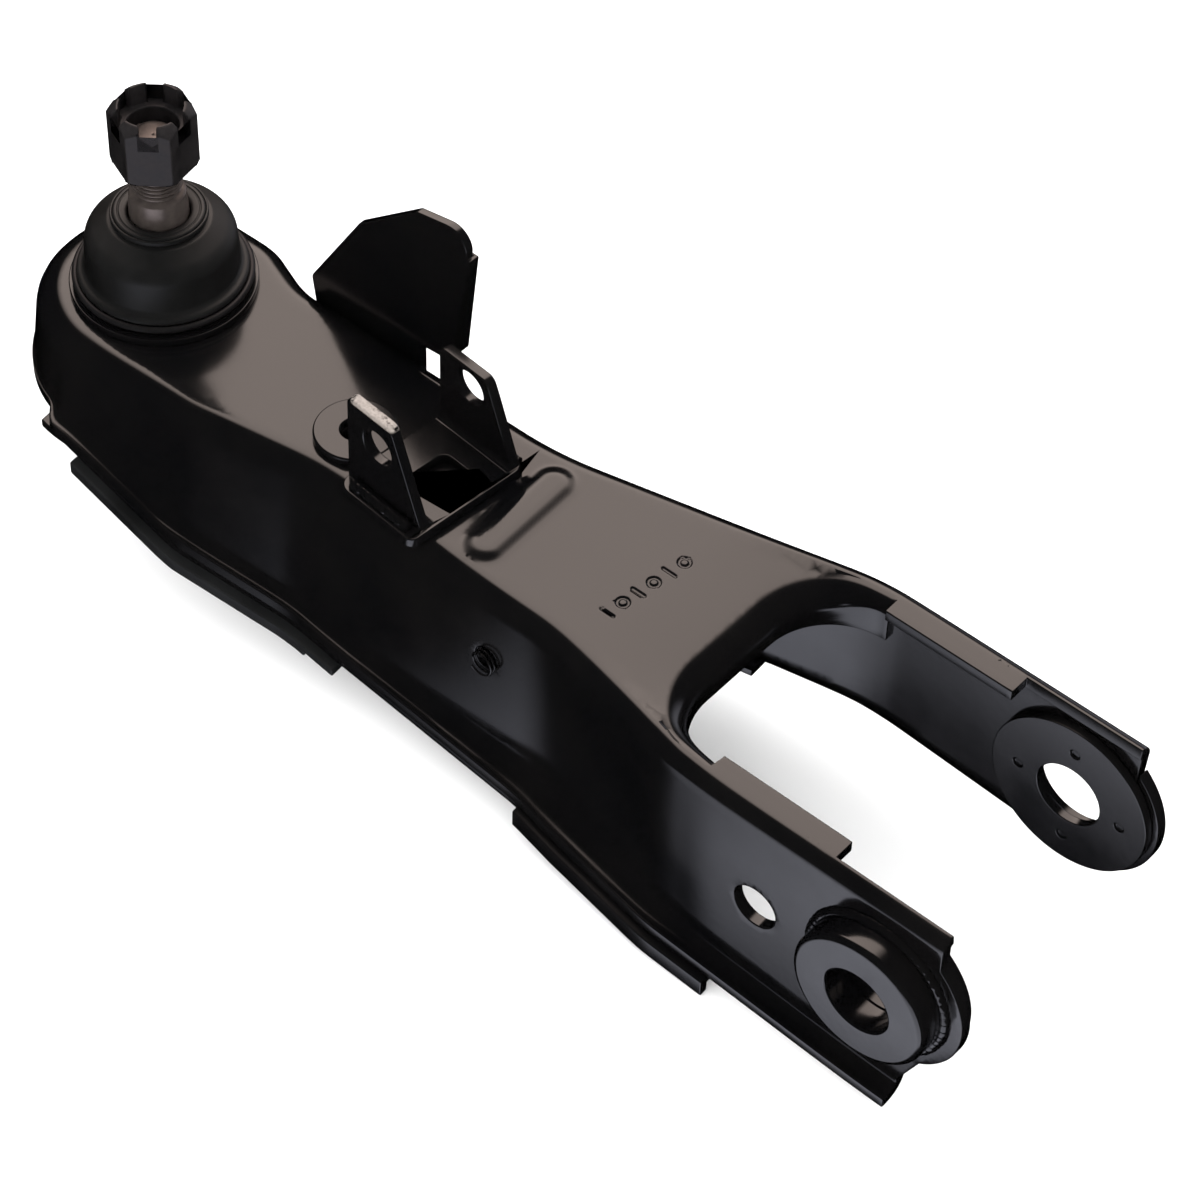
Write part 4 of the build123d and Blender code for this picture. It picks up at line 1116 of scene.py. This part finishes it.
def weld(node, points, radius, pitch, seed, ripple=0.2, closed=False):
    """A painted weld bead in place of a CAD weld."""
    edges = [(k, k + 1) for k in range(len(points) - 1)]
    if closed:
        edges.append((len(points) - 1, 0))
    bead = grown(node + "_bead", BEAD, {
        "Radius": radius * MM, "Pitch": pitch * MM, "Ripple": ripple, "Wander": WANDER * MM, "Seed": seed,
        "Finish": ENAMEL}, points, edges)
    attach(bead, BODY_OF[node])
    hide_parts(node)


RING_RADIUS = 23.6
turns = np.linspace(0, 2 * math.pi, 120, endpoint=False)
ring_seam = [(RING_RADIUS * math.cos(a), -EAR_Y - 0.2, RING_RADIUS * math.sin(a)) for a in turns]
weld("weld_collar_near", ring_seam, 2.0, 2.6, 1.0, ripple=0.10, closed=True)

BRACKET_TURN = math.radians(-5.0)
BRACKET_RUN = 12.2                           # half the length of a bead along a bracket ear
BRACKET_LIFT = 0.6
for node, seed in (("weld_bracket_near", 3.0), ("weld_bracket_far", 4.0)):
    low, high = node_box(node)
    x, y, _ = (low + high) / 2
    weld(node, [(x + k * BRACKET_RUN * math.cos(BRACKET_TURN), y + k * BRACKET_RUN * math.sin(BRACKET_TURN),
                 low[2] + BRACKET_LIFT) for k in (-1, 1)], 2.1, 2.2, seed)

STOP_INSET = 0.8
low, high = node_box("weld_stop_bracket")
weld("weld_stop_bracket", [(x, low[1] + STOP_INSET, high[2] - STOP_INSET) for x in (low[0], high[0])], 1.9, 2.1, 5.0)

# %% [markdown]
# The solids that have no stand-in, such as the bearing seats and the boot's base ring, are right
# as they are.  They only need the finish that their slot in the record asks for.

# %% Finishes for the rest
finishes = {"black_paint": ENAMEL, "black_rubber": RUBBER, "forged_steel": STUD_STEEL,
            "black_oxide": OXIDE, "spring_steel": SPRING, "bearing_polymer": POLYMER}
slot_of = {row["node"]: row["material_slot"] for row in frame["record"]["subparts"]}
for node, item in frame["nodes"].items():
    item.data.materials.clear()
    item.data.materials.append(finishes[slot_of[node]])
print("solids with a finish:", len(frame["nodes"]))

# %% [markdown]
# ## Floor, light and camera
# A pale floor under a soft dome of light.  The gloss paint shows what surrounds it, so three cards
# are placed for it to mirror: a warm one overhead and behind, which the top shows, a cool one low
# down, which the near wall and the ears show, and a dim one beyond the arm for its far side.
# Everything between them stays dark, and that draws the folds.

# %% A card to mirror
SQUARE = ((-1, -1), (1, -1), (1, 1), (-1, 1))


def card(name, centre, aim, size, colour, strength, soft):
    """Glowing card, seen only in reflections; one softness makes it round, two make it square."""
    half = size / 2
    corners = [(x * half, y * half, 0) for x, y in SQUARE]
    mesh = bpy.data.meshes.new(name)
    mesh.from_pydata(corners, [], [(0, 1, 2, 3)])
    item = new_object(name, mesh)
    item.location = centre
    item.rotation_euler = (Vector(aim) - Vector(centre)).to_track_quat("Z", "Y").to_euler()
    material = bpy.data.materials.new(name)
    material.use_nodes = True
    tree = material.node_tree
    tree.nodes.clear()
    place = add(tree, "ShaderNodeTexCoord").outputs["Object"]
    if len(soft) == 2:
        part = add(tree, VECTOR_MATH, {0: place}, operation="ABSOLUTE").outputs[0]
        sides = add(tree, "ShaderNodeSeparateXYZ", {"Vector": part}).outputs
        fades = [add(tree, RANGE, {"Value": sides[k], "From Min": half * (1 - soft[k]), "From Max": half,
                                   "To Min": 1.0, "To Max": 0.0}).outputs["Result"] for k in (0, 1)]
        both = add(tree, MATH, {0: fades[0], 1: fades[1]}, operation="MULTIPLY").outputs[0]
        fade = add(tree, RANGE, {"Value": both, "To Max": strength}).outputs["Result"]
    else:
        away = add(tree, VECTOR_MATH, {0: place}, operation="LENGTH").outputs["Value"]
        fade = add(tree, RANGE, {"Value": away, "From Min": half * (1 - soft[0]), "From Max": half,
                                 "To Min": strength, "To Max": 0.0}).outputs["Result"]
    glow = add(tree, "ShaderNodeEmission", {"Color": linear(colour), "Strength": fade})
    add(tree, "ShaderNodeOutputMaterial", {"Surface": glow.outputs[0]})
    mesh.materials.append(material)
    item.visible_camera = False
    item.visible_diffuse = False
    print(name, round(size, 2), "m wide at", [round(v, 2) for v in item.location])
    return item


# %% Floor, cards and dome
FLOOR_HALF = 3.0
DOME = 2.4
floor_mesh = bpy.data.meshes.new("floor")
floor_mesh.from_pydata([(x * FLOOR_HALF, y * FLOOR_HALF, cad_box[0][2]) for x, y in SQUARE], [], [(0, 1, 2, 3)])
floor = new_object("floor", floor_mesh)
floor_look = bpy.data.materials.new("matt_white_floor")
floor_look.use_nodes = True
floor_shader = floor_look.node_tree.nodes["Principled BSDF"]
floor_shader.inputs["Base Color"].default_value = linear("#f6f6f6")
floor_shader.inputs["Roughness"].default_value = 0.9
floor_mesh.materials.append(floor_look)
floor.visible_glossy = False

middle = Vector(((cad_box[0][0] + cad_box[1][0]) / 2, 0.0, 0.0))
below = Vector((0.15, -0.975, -0.5))
beyond = Vector((-0.1, 1.7, 0.1))
card("overhead_card", middle + Vector((-0.75, 0.92, 1.35)), middle, 2.3, "#ffece2", 3.6, (0.35,))
low = card("low_card", below, below + Vector((0, 0, 1)), 1.3, "#eef0ff", 1.9, (0.49, 0.06))
rear = card("rear_card", beyond, middle + Vector((0.0, 0.0, 0.1)), 1.5, "#f2f2ff", 0.9, (0.6,))
low.visible_shadow = False
rear.visible_shadow = False

world = bpy.data.worlds.new("studio_dome")
world.use_nodes = True
background = world.node_tree.nodes["Background"]
background.inputs["Color"].default_value = (1.0, 1.0, 1.0, 1.0)
background.inputs["Strength"].default_value = DOME
world.cycles_visibility.glossy = False
scene.world = world
scene.view_settings.view_transform = "Standard"

# %% [markdown]
# The camera stands back with a long lens and looks down along the arm.  Its place is given as a
# direction and a distance from the point it aims at, which is easier to change than a position,
# and a small roll levels the arm in the frame.

# %% Camera
AZIMUTH = math.radians(39.34)
ELEVATION = math.radians(48.21)
ROLL = math.radians(2.08)
DISTANCE = 1.14
AIM = Vector((-0.1227, -0.0262, 0.0485))
flat_reach = math.cos(ELEVATION)
back = Vector((math.sin(AZIMUTH) * flat_reach, -math.cos(AZIMUTH) * flat_reach, math.sin(ELEVATION)))
turn = back.to_track_quat("Z", "Y").to_matrix() @ Matrix.Rotation(ROLL, 3, "Z")
camera_data = bpy.data.cameras.new("camera")
camera_data.lens = 120.0
camera_data.sensor_width = 36.0
camera_data.clip_start = 0.05
camera = bpy.data.objects.new("camera", camera_data)
camera.location = AIM + back * DISTANCE
camera.rotation_euler = turn.to_euler()
scene.collection.objects.link(camera)
scene.camera = camera
print("camera at", [round(v, 3) for v in camera.location])
